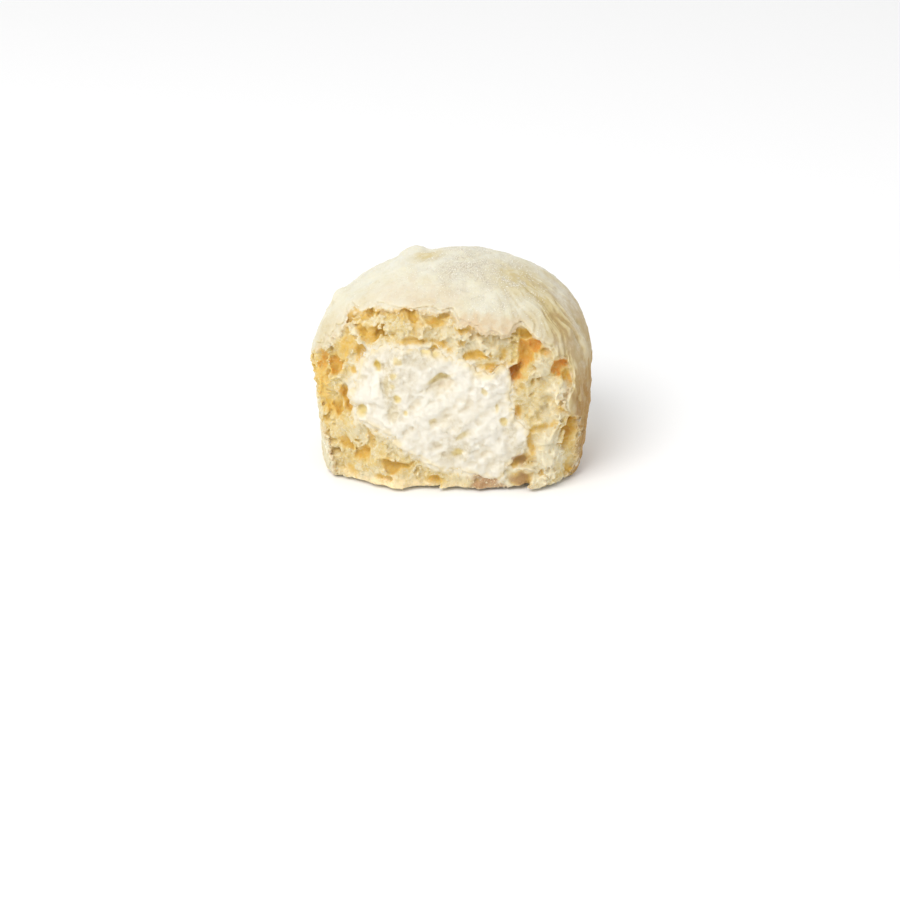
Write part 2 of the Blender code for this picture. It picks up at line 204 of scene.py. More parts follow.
def outlineDistance(x, z, outline):
    # distance to a closed outline, positive inside it
    px, pz = np.meshgrid(x, z, indexing="ij")
    nearest = np.full(px.shape, 1e9)
    inside = np.zeros(px.shape, dtype=bool)
    for (ax, az), (bx, bz) in zip(outline, outline[1:] + outline[:1]):
        dx, dz = bx - ax, bz - az
        share = np.clip(((px - ax) * dx + (pz - az) * dz) / (dx * dx + dz * dz), 0.0, 1.0)
        nearest = np.minimum(nearest, np.hypot(px - ax - share * dx, pz - az - share * dz))
        if az != bz:
            crossing = ax + (pz - az) / dz * dx
            inside ^= ((az > pz) != (bz > pz)) & (px < crossing)
    return np.where(inside, nearest, -nearest).astype(np.float32)


bunForm = {
    "halfWidth": 41.7,
    "halfDepth": 34.2,
    "middle": (0.1, -3.6),
    "height": 66.0,
    "waist": 33.0,
    "planPower": 2.48,
    "domePower": 1.94,
    "domeLean": 0.12,
    "baseNarrowing": 0.073,
    "baseRound": 3.0,
    "baseRoundShare": 0.03,
    "waveHeight": 0.5,
    "waveLength": 15.0,
    # bumps and dents of the crust: x, y, z, radius, height
    "bumps": (
        (-11.2, 8.2, 63.5, 4, 2), (-6, 9, 64.8, 2.3, -1.3), (-6.2, 3.4, 65, 2.3, -1.4),
        (-7.2, -3, 65.5, 2.6, -0.7), (-7.8, -10, 66, 2.8, -0.5), (-13.5, -8, 64, 4, 0.5),
        (-33.6, -2, 53.6, 3.4, 1.5), (-36.4, -5, 49.6, 2.6, -1.2), (-35, -5, 51, 9, 1.6),
        (-25, -6, 60, 7, -1), (26, -10, 58, 9, -0.6), (-40, -8, 18, 9, -1), (30, 14, 50, 12, 0.7),
        (-16, 24, 46, 12, -0.6),
    ),
    # folds that run down from the crown, strongest on the right by the tear
    "foldWidth": 1.7,
    "foldLength": 11.0,
    "foldHeight": 0.4,
    "foldElsewhere": 0.2,
    "foldBend": 1.6,
    "foldBendLength": 6.0,
    "foldRing": 35.0,         # distance from the middle at which a fold has its true width
    "pucker": 0.31,
    "puckerLength": 4.0,
}


def crustField(axes):
    # distance to the outside of the whole bun, negative inside
    x, y, z = axes
    acrossX = np.abs((x - bunForm["middle"][0]) / bunForm["halfWidth"])[:, None]
    acrossY = np.abs((y - bunForm["middle"][1]) / bunForm["halfDepth"])[None, :]
    power = bunForm["planPower"]
    plan = (acrossX ** power + acrossY ** power) ** (1.0 / power)
    sideX = np.sign(x - bunForm["middle"][0])[:, None] * acrossX ** (power / 2.0)
    lean = bunForm["domePower"] + bunForm["domeLean"] * sideX / np.maximum(plan ** (power / 2.0), 1e-4)
    waist = bunForm["waist"]
    field = np.empty((len(x), len(y), len(z)), dtype=np.float32)
    for level, height in enumerate(z):
        if height < waist:
            low = max(0.0, height)
            share = 1.0 - bunForm["baseNarrowing"] * (1.0 - low / waist) ** 2
            corner = max(0.0, 1.0 - low / bunForm["baseRound"])
            field[:, :, level] = plan / (share - bunForm["baseRoundShare"] * corner ** 2)
        else:
            rise = (height - waist) / (bunForm["height"] - waist)
            field[:, :, level] = (plan ** lean + rise ** lean) ** (1.0 / lean)
    slopes = np.gradient(field, x[1] - x[0])
    steepness = np.sqrt(slopes[0] ** 2 + slopes[1] ** 2 + slopes[2] ** 2)
    field = (field - 1.0) / np.maximum(steepness, 0.012)
    field -= crustRelief(axes)
    index, points = nearSurface(field, axes, 2.5)
    field[index] -= crustDetail(points)
    return np.maximum(field, -z[None, None, :])


def crustRelief(axes):
    # the waves and bumps that the solid has too
    x, y, z = axes
    step = 3.0
    coarse = [np.arange(axis[0] - step, axis[-1] + 2 * step, step) for axis in axes]
    length = bunForm["waveLength"]
    wave = np.zeros([len(axis) for axis in coarse], dtype=np.float32)
    for i, a in enumerate(coarse[0]):
        for j, b in enumerate(coarse[1]):
            for k, c in enumerate(coarse[2]):
                wave[i, j, k] = noise.noise(Vector((a, b, c)) / length)
    for number, axis in enumerate(axes):
        place = (axis - coarse[number][0]) / step
        index = place.astype(int)
        shape = [1, 1, 1]
        shape[number] = len(axis)
        share = (place - index).reshape(shape)
        wave = np.take(wave, index, axis=number) * (1.0 - share) + \
            np.take(wave, index + 1, axis=number) * share
    wave = wave.astype(np.float32) * bunForm["waveHeight"]
    for bx, by, bz, radius, height in bunForm["bumps"]:
        wave += height * np.exp(-((x - bx) / radius) ** 2)[:, None, None] * \
            np.exp(-((y - by) / radius) ** 2)[None, :, None] * \
            np.exp(-((z - bz) / radius) ** 2)[None, None, :]
    wave *= smooth(0.5, 4.0, z)[None, None, :]
    return wave


def crustFolds(points):
    # folds that run down the sides, strongest on the right by the tear
    bend = latticeNoise(points, bunForm["foldBendLength"], 5) * bunForm["foldBend"]
    x, y, z = points.T
    reach = np.maximum(np.hypot(x, y), 1.0)
    ring = bunForm["foldRing"]
    ring = np.stack((x / reach * ring + bend, y / reach * ring + bend, z), axis=1)
    sizes = (bunForm["foldWidth"], bunForm["foldWidth"], bunForm["foldLength"])
    folds = latticeNoise(ring, sizes, 3, octaves=3, gain=0.6)
    pulled = smooth(8.0, 27.0, x) * smooth(4.0, -12.0, y)
    return folds * np.maximum(pulled, bunForm["foldElsewhere"]) * smooth(16.0, 28.0, reach)


def crustDetail(points):
    pucker = latticeNoise(points, bunForm["puckerLength"], 4, octaves=4, gain=0.6)
    height = crustFolds(points) * bunForm["foldHeight"] + pucker * bunForm["pucker"]
    return height * smooth(0.3, 3.0, points[:, 2])


tearForm = {
    # edge of the crust round the torn face, seen from the front, as x, z
    "crustEdge": (
        (-36.4, -8), (-36.4, 6), (-37.2, 10.5), (-38.8, 13.2), (-48, 16), (-48, 37), (-41, 39.5),
        (-38.2, 42.6), (-35.7, 45.8), (-33.4, 48.6), (-31.2, 50.6), (-30.4, 52.8), (-28.5, 54.4),
        (-24.1, 55.9), (-18.4, 57), (-10, 57.7), (-4.4, 57.7), (0.6, 57.2), (3.4, 55), (6.7, 53.5),
        (11.2, 52.2), (15.1, 51.3), (17.9, 52.8), (20.7, 53.5), (23.5, 50.9), (26.3, 48), (29.8, 45.3),
        (33, 42.2), (35, 38), (35.6, 34.2), (34.6, 30.5), (33.2, 28.1), (34.3, 25), (37.6, 21.2),
        (39, 15.7), (38.2, 10.8), (38.4, 5.4), (36, 2.8), (34, -8),
    ),
    "peel": 1.3,
    "rearY": 0.0,
    "rearHeight": 27.0,
    "rearBend": 0.06,
    "rearEnd": -13.0,
    "rearRagged": 3.0,
    "faceY": -27.0,
    "ragged": 1.9,
    "raggedLength": 6.0,
    "edgeRagged": 1.1,
    "edgeRaggedLength": 3.5,
    "edgeFray": 0.5,
    "edgeFrayLength": 1.3,
    "edgeSteepness": 14.0,
    "lipStep": 0.3,
    "lipBlend": 2.8,
    "lipRound": 1.4,
    "leftTurn": -15.0,
    "leftReach": 23.0,
    "leftRecess": 12.0,
    "leftCurve": 1.6,
    "rightTurn": 29.0,
    "rightReach": 8.0,
    "rightRecess": 9.0,
    "rightCurve": 1.5,
    "rightHeight": 24.0,
    "rightMost": 1.3,
    # clumps of crumb that stand forward: x, z, radius, height
    "clumps": (
        (-23.1, 54, 3.2, 1.8), (3, 51.5, 5, 1.4), (26.7, 42.5, 4, 2.2), (31.5, 32, 3.2, 2),
        (27.7, 14, 5.4, 1.4), (-34.2, 31.7, 2.4, 1), (-36.1, 43.1, 2.2, 1), (-31, 19, 4, 1.2),
        (-34.6, 12.4, 2.6, 1.2), (-34.4, 7, 2.4, 0.8), (-17, 3, 5.5, 1.2), (10, 47, 3.6, 1),
    ),
    # thin walls of crumb that stand forward: x, z, half length, half width, height, tilt
    "strands": (
        (-27.2, 47.6, 3.9, 0.8, 1.3, -50), (-25, 44.8, 1.4, 0.9, 0.8, -40),
        (-36, 33.8, 3.2, 0.5, 0.7, 40), (-31.4, 38.6, 3.4, 0.6, 0.7, 75),
        (-33.6, 29.6, 3, 0.5, 0.7, -60), (-34.6, 27.2, 3.2, 0.5, 0.7, 15), (27.2, 23.6, 3, 0.6, 0.4, 22),
        (31.2, 21.6, 5.4, 0.8, 1.1, 62), (-16.5, 53.4, 2.6, 0.8, 0.7, 10),
        (-7.4, 54.2, 1.4, 0.6, 0.7, 70), (-10, 13.4, 3, 0.6, 0.6, -20), (-28, 14.6, 3, 0.6, 0.3, 25),
        (19.8, 8.2, 4.2, 0.7, 1.1, -4),
    ),
    # hollows: x, z, half width, half height, depth, tilt in degrees, how deep a painted golden glow of
    # bounced light
    "hollows": (
        # under the lip, from the left
        (-25.2, 53.6, 3.4, 1.2, 0.6, 10, 0.45), (-29, 52.2, 1.3, 2, 1.1, -14, 0.5),
        (-26.8, 50, 2.6, 0.9, 1.4, -38, 0.45), (-22.2, 49.3, 4.4, 2, 2.1, -6, 0.45),
        (-12.3, 55.6, 3.4, 1.5, 1.3, -38, 0.5), (-10.2, 52.6, 1.2, 2.2, 1.4, 0, 0.35),
        (-3.9, 55.4, 2.4, 1.2, 1.4, -15, 0.6), (-3.2, 54, 1.2, 1.2, 1.2, 0, 0.3),
        (3.6, 51.9, 2.2, 0.9, 1, 0, 0.3),
        # along the top of the cream
        (-11.1, 47.9, 3.2, 1, 1.2, 5, 0.35), (-2.3, 47.5, 1.4, 1, 1.2, 0, 0.3),
        (-0.3, 45.6, 1, 1, 1.4, 0, 0.4), (-4.7, 45.4, 0.9, 0.9, 1, 0, 0.4),
        (3.3, 47.2, 1.1, 0.8, 1, 0, 0.3), (6.8, 43.4, 2.2, 1.1, 1.4, 0, 0.45),
        (12.1, 40.6, 3.4, 1, 1.6, 16, 0.65), (14.7, 44.2, 0.8, 0.9, 1.2, 0, 0.4),
        # left side
        (-31.8, 43, 1.8, 4, 1.2, -24, 0.45), (-38.9, 37.6, 2.1, 3.8, 2.4, -8, 0.75),
        (-34.8, 37.4, 2.7, 3.4, 2.7, -10, 0.7), (-27.4, 42.8, 2.4, 2.2, 0.9, 0, 0.6),
        (-37.6, 32.8, 1.8, 1.8, 1.4, 0, 0.5), (-40.2, 29.2, 0.9, 1.1, 1.1, 0, 0.5),
        (-38, 24.8, 2.3, 2.7, 1.6, 0, 0.5), (-34.2, 24.2, 1.5, 3.4, 1.6, -12, 0.55),
        (-31.2, 26.6, 1.2, 3, 1.5, 6, 0.6), (-37.6, 18.8, 1, 0.9, 1, 0, 0.45),
        (-29.4, 37, 1.2, 1, 1, 0, 0.4),
        # lower left
        (-31, 13.4, 2.8, 1.1, 1.7, -28, 0.5), (-25.9, 9.7, 2.4, 1.8, 2.8, 20, 0.6),
        (-20.4, 12.2, 1.5, 1, 1.1, 0, 0.35), (-22.6, 15.6, 0.9, 2.4, 1.1, -8, 0.45),
        (-15.6, 8.8, 2.9, 1.3, 1.6, -16, 0.35), (-30.6, 4.8, 1.8, 0.8, 0.6, -10, 0.4),
        (-20.6, 4.6, 3, 0.5, 0.6, -4, 0.35), (-4.9, 4, 2.2, 1.9, 2.2, 30, 0.65),
        # right side
        (21, 50.6, 2.7, 1.9, 2.6, 0, 0.45), (23.5, 46.9, 2.3, 2.1, 2.8, 25, 0.9),
        (20.8, 44.2, 2.3, 4.8, 3.4, 3, 0.75), (18.9, 39, 2.1, 2.6, 4.8, 0, 1),
        (27, 45.2, 1.5, 0.9, 1.6, -30, 0.75), (31.1, 40, 2.9, 2.6, 3.9, -12, 1),
        (33.9, 36.6, 1.2, 1.5, 1.5, 15, 0.75), (20, 25.8, 1.7, 1.8, 2.4, 0, 0.75),
        (24, 20.6, 1.4, 2, 1.4, -14, 0.4), (23.2, 15.6, 1, 3.4, 1.3, 3, 0.3),
        (27.4, 21.6, 2, 1.2, 1, 20, 0.35), (33.2, 26.4, 1.7, 1.7, 1.2, 20, 0.3),
        (34.6, 18, 2.5, 6.2, 2, 8, 0.6), (35.4, 5, 1.5, 1.8, 0.8, 0, 0.3),
        (19.4, 9.8, 3, 1.4, 2.2, 14, 0.2), (20.4, 3.8, 2.2, 1.8, 0.9, 0, 0.2),
    ),
    "hollowSetBack": 0.2,
    # the golden places get a painted glow of bounced light
    "goldenDeep": 0.35,       # how deep a gold the places below have
    # places of painted golden glow on the torn face round the hollows: x, z, half width, half height,
    # share, tilt
    "golden": (
        (-24, 55, 6.4, 1.3, 0.9, 13), (-30, 52, 1.3, 3, 0.7, -24), (-13.5, 55.6, 4, 1.6, 0.6, -15),
        (-38.8, 30, 2.9, 6.5, 0.75, 0), (-4.7, 54.6, 2.4, 1.6, 0.5, 0), (15.5, 38.5, 2.4, 2, 0.4, 0),
        (19.4, 34, 2.6, 2.4, 0.45, 0), (37, 13, 2.6, 7, 0.5, 8), (-34, 18, 4, 4, 0.25, 0),
    ),
    # where the torn face is smooth: x, z, half width, half height, share
    "calm": (
        (27.6, 39.4, 3.4, 3.8, 0.6), (27.7, 14.1, 4.6, 7.6, 0.4), (-17.6, 2.4, 11.5, 2.4, 0.85),
        (-30, 17, 5.5, 4, 0.65), (2.5, 2.7, 4, 2.4, 0.8), (19.9, 4.4, 3.6, 3.2, 0.95),
        (33.9, 8.2, 3, 5.2, 0.5), (20.7, 44, 2.6, 6, 0.8), (24.5, 30.5, 5, 5.5, 0.4),
        (35.7, 17.7, 3, 8, 0.8),
    ),
}


def tearFace(x, z):
    # the smooth torn face: y over a sheet of x and z
    left = np.maximum(0.0, (tearForm["leftTurn"] - x) / tearForm["leftReach"]) ** tearForm["leftCurve"]
    low = smooth(0.0, 1.0, tearForm["rightMost"] - z / tearForm["rightHeight"])
    reach = np.maximum(0.0, (x - tearForm["rightTurn"]) / tearForm["rightReach"]) ** tearForm["rightCurve"]
    right = np.minimum(tearForm["rightMost"], reach[:, None] * low[None, :])
    return tearForm["faceY"] + tearForm["leftRecess"] * left[:, None] + tearForm["rightRecess"] * right


def tearSheet(x, z):
    # the uneven torn surface with the standing edge of the crust
    inner = outlineDistance(x, z, tearForm["crustEdge"])
    inner += slowNoise(x, z, tearForm["edgeRaggedLength"]) * tearForm["edgeRagged"]
    inner += slowNoise(x, z, tearForm["edgeFrayLength"], place=(2.0, 5.0, 1.0)) * tearForm["edgeFray"]
    torn = tearFace(x, z) + slowNoise(x, z, tearForm["raggedLength"], octaves=2) * tearForm["ragged"]
    return (torn - bumpSheet(x, z, tearForm["clumps"])).astype(np.float32), inner


def frontSheet(field, y):
    # y of the foremost surface of a field, over its sheet of x and z
    first = np.maximum(1, np.argmax(field < 0.0, axis=1))
    here = np.take_along_axis(field, first[:, None, :], axis=1)[:, 0, :]
    before = np.take_along_axis(field, first[:, None, :] - 1, axis=1)[:, 0, :]
    share = np.clip(before / np.maximum(before - here, 1e-4), 0.0, 1.0)
    return (y[first] + (share - 1.0) * (y[1] - y[0])).astype(np.float32)


crumb = {
    "voxel": 0.33,
    "low": (-43.6, -33.6, -1.4),
    "high": (43.6, 32.6, 68.6),
    "poreSkin": 1.5,          # crust that no pore cuts through, and no hollow
    "hollowSkin": 2.6,
    "poreRim": 0.5,           # how far off the torn edge of the crust they stay
    "hollowRim": 1.2,
    "warp": 1.6,              # how far the pores are bent out of round
    "warpLength": 3.8,
    "fullBend": 1.4,          # half size from which a pore is bent by all of it
    "carveReach": 2.4,        # how far past its half size a pore is worked out
    # how far inside the crust's edge a pore stays at least, how far into the cream it may lie, how calm
    "poreLimits": (1.2, 0.5, 0.3),
    "finePoreLimits": (1.6, 0.8, 0.5),
    "poreCount": 70,
    "poreTries": 12,
    "poreLow": (-41.0, 4.0),
    "poreHigh": (38.0, 58.0),
    "poreRadius": (0.5, 1.2),
    "poreStretch": ((1.1, 0.9, 0.6), (2.0, 1.4, 1.1)),
    "poreDepth": 0.35,
    "poreApart": 1.2,
    "finePoreCount": 1500,
    "finePoreLow": (-41.0, 3.0),
    "finePoreRadius": (0.25, 0.5),
    "finePoreStretch": ((1.0, 1.0, 0.7), (2.2, 1.8, 1.0)),
    "finePoreDepth": (-0.6, 0.3),
    "poreSoftness": 1.1,
    "hollowSoftness": 2.0,
    "roughWalls": 0.15,       # how much of the fluff and grains the walls of the hollows have
    # torn walls between the pores, and the fluff and round grains on them
    "bend": 1.3,
    "bendLength": 4.0,
    "wallHeight": 0.5,
    "wallSpacing": 3.4,
    "fluffHeight": 0.4,
    "fluffLength": 2.2,
    "grainHeight": 0.9,
    "grainLength": 1.4,
    "reliefReach": 2.4,       # how far from the surface the relief is worked out
    "hollowReach": 1.3,       # how far from a hollow its walls reach
    "wallReach": 1.2,
    "overCrust": 0.3,         # how far the relief may stand over the crust
    "creamCalm": 0.7,         # how much less relief there is beside the cream
    "frontEnd": -0.5,         # nothing behind this y is torn
    "creamLevel": (-4.5, -0.6),  # where the crumb comes level with the cream, off its edge
    "creamStep": 0.3,
    "nearReach": 0.9,         # how far off the surface its surroundings are felt
    "seed": 11,
    "triangles": 197000,
}


def crumbRelief(points):
    # torn walls and fluff that stand out from the torn surface
    bend = [latticeNoise(points, crumb["bendLength"], (crumb["seed"], k)) for k in range(3)]
    moved = points + np.stack(bend, axis=1) * crumb["bend"]
    walls = np.abs(latticeNoise(moved, crumb["wallSpacing"], 21, octaves=2, gain=0.4))
    walls = smooth(0.45, 0.0, walls) - 0.4
    fluff = latticeNoise(moved, crumb["fluffLength"], 22, octaves=2, gain=0.6)
    grains = np.abs(latticeNoise(moved, crumb["grainLength"], 23, octaves=2, gain=0.55)) - 0.3
    height = walls * crumb["wallHeight"] + fluff * crumb["fluffHeight"] + grains * crumb["grainHeight"]
    return height * smooth(-0.5, 3.5, points[:, 2]), walls


def turned(angle):
    # a turn in the plane of the torn face, as a 3 by 3 matrix
    return np.array((
        (math.cos(angle), 0.0, math.sin(angle)),
        (0.0, 1.0, 0.0),
        (-math.sin(angle), 0.0, math.cos(angle)),
    ))


def bendShare(sizes):
    # small pores are bent less out of round
    return min(1.0, min(sizes) / crumb["fullBend"])


def carvePore(pores, axes, warp, centre, sizes, turn):
    # lowers a field of distances to all pores by one more squashed ball, bent by the warp
    reach = max(sizes) + crumb["carveReach"]
    step = axes[0][1] - axes[0][0]
    spans = []
    for k in range(3):
        first = max(0, int((centre[k] - reach - axes[k][0]) / step))
        last = min(len(axes[k]), int((centre[k] + reach - axes[k][0]) / step) + 2)
        if last <= first:
            return
        spans.append(slice(first, last))
    window = tuple(spans)
    bend = bendShare(sizes)
    dx = (axes[0][spans[0]] - centre[0])[:, None, None] + warp[0][window] * bend
    dy = (axes[1][spans[1]] - centre[1])[None, :, None] + warp[1][window] * bend
    dz = (axes[2][spans[2]] - centre[2])[None, None, :] + warp[2][window] * bend
    radius = 0.0
    for row, size in zip(turn, sizes):
        radius = radius + ((row[0] * dx + row[1] * dy + row[2] * dz) / size) ** 2
    distance = (np.sqrt(radius) - 1.0) * min(sizes)
    pores[window] = np.minimum(pores[window], distance)


def hollowPlaces(sheetX, sheetZ, face):
    # centre, half sizes, turn and depth of painted golden glow of every named hollow
    places = []
    for x, z, wide, high, deep, tilt, gold in tearForm["hollows"]:
        centre = (x, face[sheetCell(sheetX, sheetZ, x, z)] + tearForm["hollowSetBack"], z)
        places.append((centre, (wide, deep, high), turned(math.radians(tilt)), gold))
    return places


def goldShares(points, bends, places):
    # how far each point lies inside a named hollow, and how deep a painted golden glow it has there
    share = np.zeros(len(points), dtype=np.float32)
    deep = np.zeros(len(points), dtype=np.float32)
    for centre, sizes, turn, gold in places:
        bend = bendShare(sizes)
        away = points - np.array(centre, dtype=np.float32)
        near = np.nonzero((np.abs(away) < max(sizes) + 2.5).all(axis=1))[0]
        bent = (away[near] + bends[near] * bend) @ turn.T / np.array(sizes)
        edge = (np.sqrt((bent ** 2).sum(1)) - 1.0) * min(sizes)
        here = smooth(1.2, -0.5, edge)
        deep[near] = np.where(here > share[near], gold, deep[near])
        share[near] = np.maximum(share[near], here)
    return share, deep


def emptyField(axes):
    return np.full([len(axis) for axis in axes], farOff, dtype=np.float32)


def hollowField(axes, warp, places):
    hollows = emptyField(axes)
    for centre, sizes, turn, _ in places:
        carvePore(hollows, axes, warp, centre, sizes, turn)
    return hollows


def poreField(axes, sheetX, sheetZ, tear, inner, creamAway, calm, warp, places):
    # round pores that keep apart, then a great many fine ones
    draw = np.random.default_rng(crumb["seed"])
    pores = emptyField(axes)
    centres = [(*centre, 1.1 * math.sqrt(sizes[0] * sizes[2])) for centre, sizes, _, _ in places]

    def carve(centre, radius, stretch):
        sizes = radius * draw.uniform(*stretch)
        carvePore(pores, axes, warp, centre, sizes, turned(draw.uniform(0.0, math.pi)))

    def allowed(cell, limits, radius):
        inside, intoCream, calmest = limits
        return inner[cell] >= inside + radius and creamAway[cell] <= intoCream - radius and \
            calm[cell] <= calmest

    def drawPlace(low, high):
        x = draw.uniform(low[0], high[0])
        return x, draw.uniform(low[1], high[1])

    low, high = crumb["poreRadius"]
    radii = np.sort(low + (high - low) * draw.random(crumb["poreCount"] * 3) ** 2.2)[::-1]
    made = 0
    for radius in radii:
        for _ in range(crumb["poreTries"]):
            x, z = drawPlace(crumb["poreLow"], crumb["poreHigh"])
            cell = sheetCell(sheetX, sheetZ, x, z)
            if not allowed(cell, crumb["poreLimits"], radius):
                continue
            y = tear[cell] + draw.uniform(-0.4 * radius, crumb["poreDepth"])
            near = np.array(centres)
            gap = np.sqrt(((near[:, :3] - (x, y, z)) ** 2).sum(1)) - \
                crumb["poreApart"] * (near[:, 3] + radius)
            if gap.min() < 0.0:
                continue
            carve((x, y, z), radius, crumb["poreStretch"])
            centres.append((x, y, z, radius))
            made += 1
            break
        if made >= crumb["poreCount"]:
            break
    low, high = crumb["finePoreRadius"]
    for _ in range(crumb["finePoreCount"]):
        x, z = drawPlace(crumb["finePoreLow"], crumb["poreHigh"])
        radius = low + (high - low) * draw.random() ** 1.5
        cell = sheetCell(sheetX, sheetZ, x, z)
        if not allowed(cell, crumb["finePoreLimits"], 0.0):
            continue
        y = tear[cell] + draw.uniform(*crumb["finePoreDepth"])
        carve((x, y, z), radius, crumb["finePoreStretch"])
    return pores, made


creamForm = {
    "voxel": 0.3,
    "margin": 3.0,            # room of the grid round the edge
    "foremost": -34.0,
    # edge of the cream in the torn face, as x, z
    "edge": (
        (-29.6, 29.6), (-27.6, 36), (-25, 43.2), (-18.5, 46.3), (-12, 46), (-5, 44.8), (2.2, 42.4),
        (5.2, 41.6), (7.8, 38.8), (11.6, 38.8), (14.6, 40.6), (16.6, 39.2), (17.4, 35), (17.2, 29),
        (19, 23.5), (22.4, 20), (22, 14.8), (19, 10.6), (15.4, 7.4), (14.2, 4), (9.6, 4.4), (4.5, 6.4),
        (-2, 7.2), (-8, 10.2), (-14, 14.4), (-20, 19.4), (-27.6, 22.4),
    ),
    "centre": (-3.0, 26.0),
    "reach": (27.0, 21.0),
    "front": 0.9,
    "bulge": 1.5,
    "back": 15.0,
    "round": 23.0,
    "taper": 0.8,
    "lump": 1.0,
    "lumpLength": 6.0,
    "lumpPlace": (3.0, 1.0, 0.0),
    # peaks and dips of the face: x, z, radius, height
    "relief": (
        (-26.2, 25.6, 1.8, -2.2), (-3.3, 35.6, 3.6, -2), (-21, 39.6, 2, -1.6), (-10.5, 30, 3, -1.4),
        (1, 12, 3, -1.4), (8, 20, 3.4, 1.2), (-22.5, 31, 3.4, 1.4), (13, 34.5, 3.2, 1.4),
        (-15, 22, 3, 1),
    ),
    # pits and dips: x, z, half width, half height, depth, tilt in degrees, stain
    "pits": (
        (-26.1, 25, 1.5, 1.6, 0.7, 0, 0.7), (-21.3, 40, 1.1, 1.3, 0.5, 0, 1),
        (-3.9, 36.5, 3.4, 1, 0.7, 22, 0.5), (-17.2, 37.8, 0.9, 1, 0.4, 0, 0.5),
        (-17.2, 34.5, 0.8, 0.8, 0.4, 0, 0.4), (-15.7, 30.6, 1, 1.1, 0.6, 0, 0.7),
        (-17, 26.4, 1.6, 2.9, 0.7, 0, 0.1), (-13.4, 26.2, 0.7, 0.7, 0.4, 0, 0.6),
        (-5.4, 23.8, 1, 1.1, 0.3, 0, 0.3), (9.4, 33, 0.9, 1.1, 0.3, 0, 0.5),
        (13.2, 27.6, 0.7, 1.4, 0.3, 0, 0.4), (15.3, 23.3, 1.2, 1, 0.5, 0, 0.6),
        (-15.7, 42.1, 1.2, 1.1, 0.5, 0, 0.5), (1.6, 13.2, 1.7, 1.4, 0.8, 20, 0.6),
        (3.1, 19.3, 2.3, 1, 0.6, 32, 0.4), (-18.8, 34.3, 0.7, 3.4, 0.5, 0, 0.2),
        (-7.6, 45.3, 1.4, 1, 0.8, 0, 0.7), (-4.7, 44.2, 1, 1, 0.8, 0, 0.7),
    ),
    # places of the face in painted shade, beige and yellowish, some partly the cream's own yellowish tone:
    # x, z, half width, half height, share, tilt
    "shadedDull": (
        (-18, 35, 2.5, 8.5, 1, -4), (17.4, 20.4, 1.9, 3.2, 0.9, 8), (-17, 26, 2, 3.6, 0.9, 0),
        (-12.8, 36.5, 3.2, 5, 0.5, 0), (0.5, 22.5, 4.2, 2.4, 0.6, 0), (-23, 42.5, 4.5, 2.8, 0.7, 45),
        (19.5, 14.5, 2.4, 3.5, 0.8, 0), (-17.6, 27.4, 5.4, 0.9, 0.6, -10),
        (-3.6, 36.4, 4.2, 1.5, 0.7, 20), (-7, 33.6, 3, 1, 0.4, 20), (-11, 43.4, 8.6, 2.4, 0.9, -4),
        (1.4, 13.4, 4.8, 3, 0.9, 20), (2, 18.8, 4.5, 2.2, 0.6, 32), (-4, 16, 5, 1, 0.4, 25),
        (6, 25, 3, 1, 0.25, 35), (14, 10, 4, 2.4, 0.5, 0), (-22, 22, 5, 1.6, 0.4, -25),
    ),
    # rims and ridges that stand forward: x, z, half width, half height, height, tilt
    "ridges": (
        (-26.1, 25, 2.6, 3.1, 0.9, 0), (-21.9, 33.2, 1.5, 3.8, 1.1, 0), (-9.2, 30.2, 4.1, 1.9, 0.6, 30),
        (11.1, 36.5, 3.5, 2.5, 0.9, 0), (15.8, 7.6, 2.7, 2.6, 0.5, 0),
    ),
    "tuck": 0.9,              # how far the cream reaches into the crumb
    "edgeRagged": 1.6,
    "edgeRaggedLength": 3.4,
    "streakTilt": 36.0,       # slope of the streaks, in degrees
    "streakSizes": (6.5, 2.4, 2.4),
    "streakHeight": 0.36,
    "streakBend": 2.0,
    "streakBendLength": 7.0,
    "curdHeight": 0.26,
    "curdLength": 1.5,
    "detailReach": 2.0,       # how far from the face the detail is worked out
    "rimRound": 1.0,
    "dipRadius": 10,          # size of the dips that are shaded, in voxels
    "seed": 5,
    "triangles": 190000,
}


def creamOutline():
    points = [Vector(point) for point in creamForm["edge"]]
    fine = []
    total = len(points)
    for index in range(total):
        before, first, second, after = (points[(index + k) % total] for k in (-1, 0, 1, 2))
        for step in range(10):
            t = step / 10
            a = first * 2.0 + (second - before) * t
            b = (before * 2.0 - first * 5.0 + second * 4.0 - after) * t * t
            c = (first * 3.0 - before - second * 3.0 + after) * t * t * t
            fine.append(tuple((a + b + c) * 0.5))
    return fine


def creamRadius():
    # radius of the cream's edge for every direction from its centre
    dx, dz = (np.array(creamOutline()) - creamForm["centre"]).T
    angle = np.arctan2(dz, dx)
    order = np.argsort(angle)
    angle, radius = angle[order], np.hypot(dx, dz)[order]
    angle = np.concatenate((angle[-4:] - math.tau, angle, angle[:4] + math.tau))
    return angle, np.concatenate((radius[-4:], radius, radius[:4]))


def creamSheet(x, z):
    # y of the cream's lumpy face over a sheet of x and z
    away = np.hypot((x[:, None] - creamForm["centre"][0]) / creamForm["reach"][0],
                    (z[None, :] - creamForm["centre"][1]) / creamForm["reach"][1])
    lumps = slowNoise(x, z, creamForm["lumpLength"], place=creamForm["lumpPlace"], octaves=3, gain=0.7)
    y = tearFace(x, z) - creamForm["front"] - creamForm["bulge"] * (1.0 - np.minimum(1.2, away) ** 2)
    y = y + lumps * creamForm["lump"] - bumpSheet(x, z, creamForm["relief"])
    y = y - patchSheet(x, z, creamForm["ridges"])
    pits = [pit[:6] for pit in creamForm["pits"]]
    return y + patchSheet(x, z, pits)


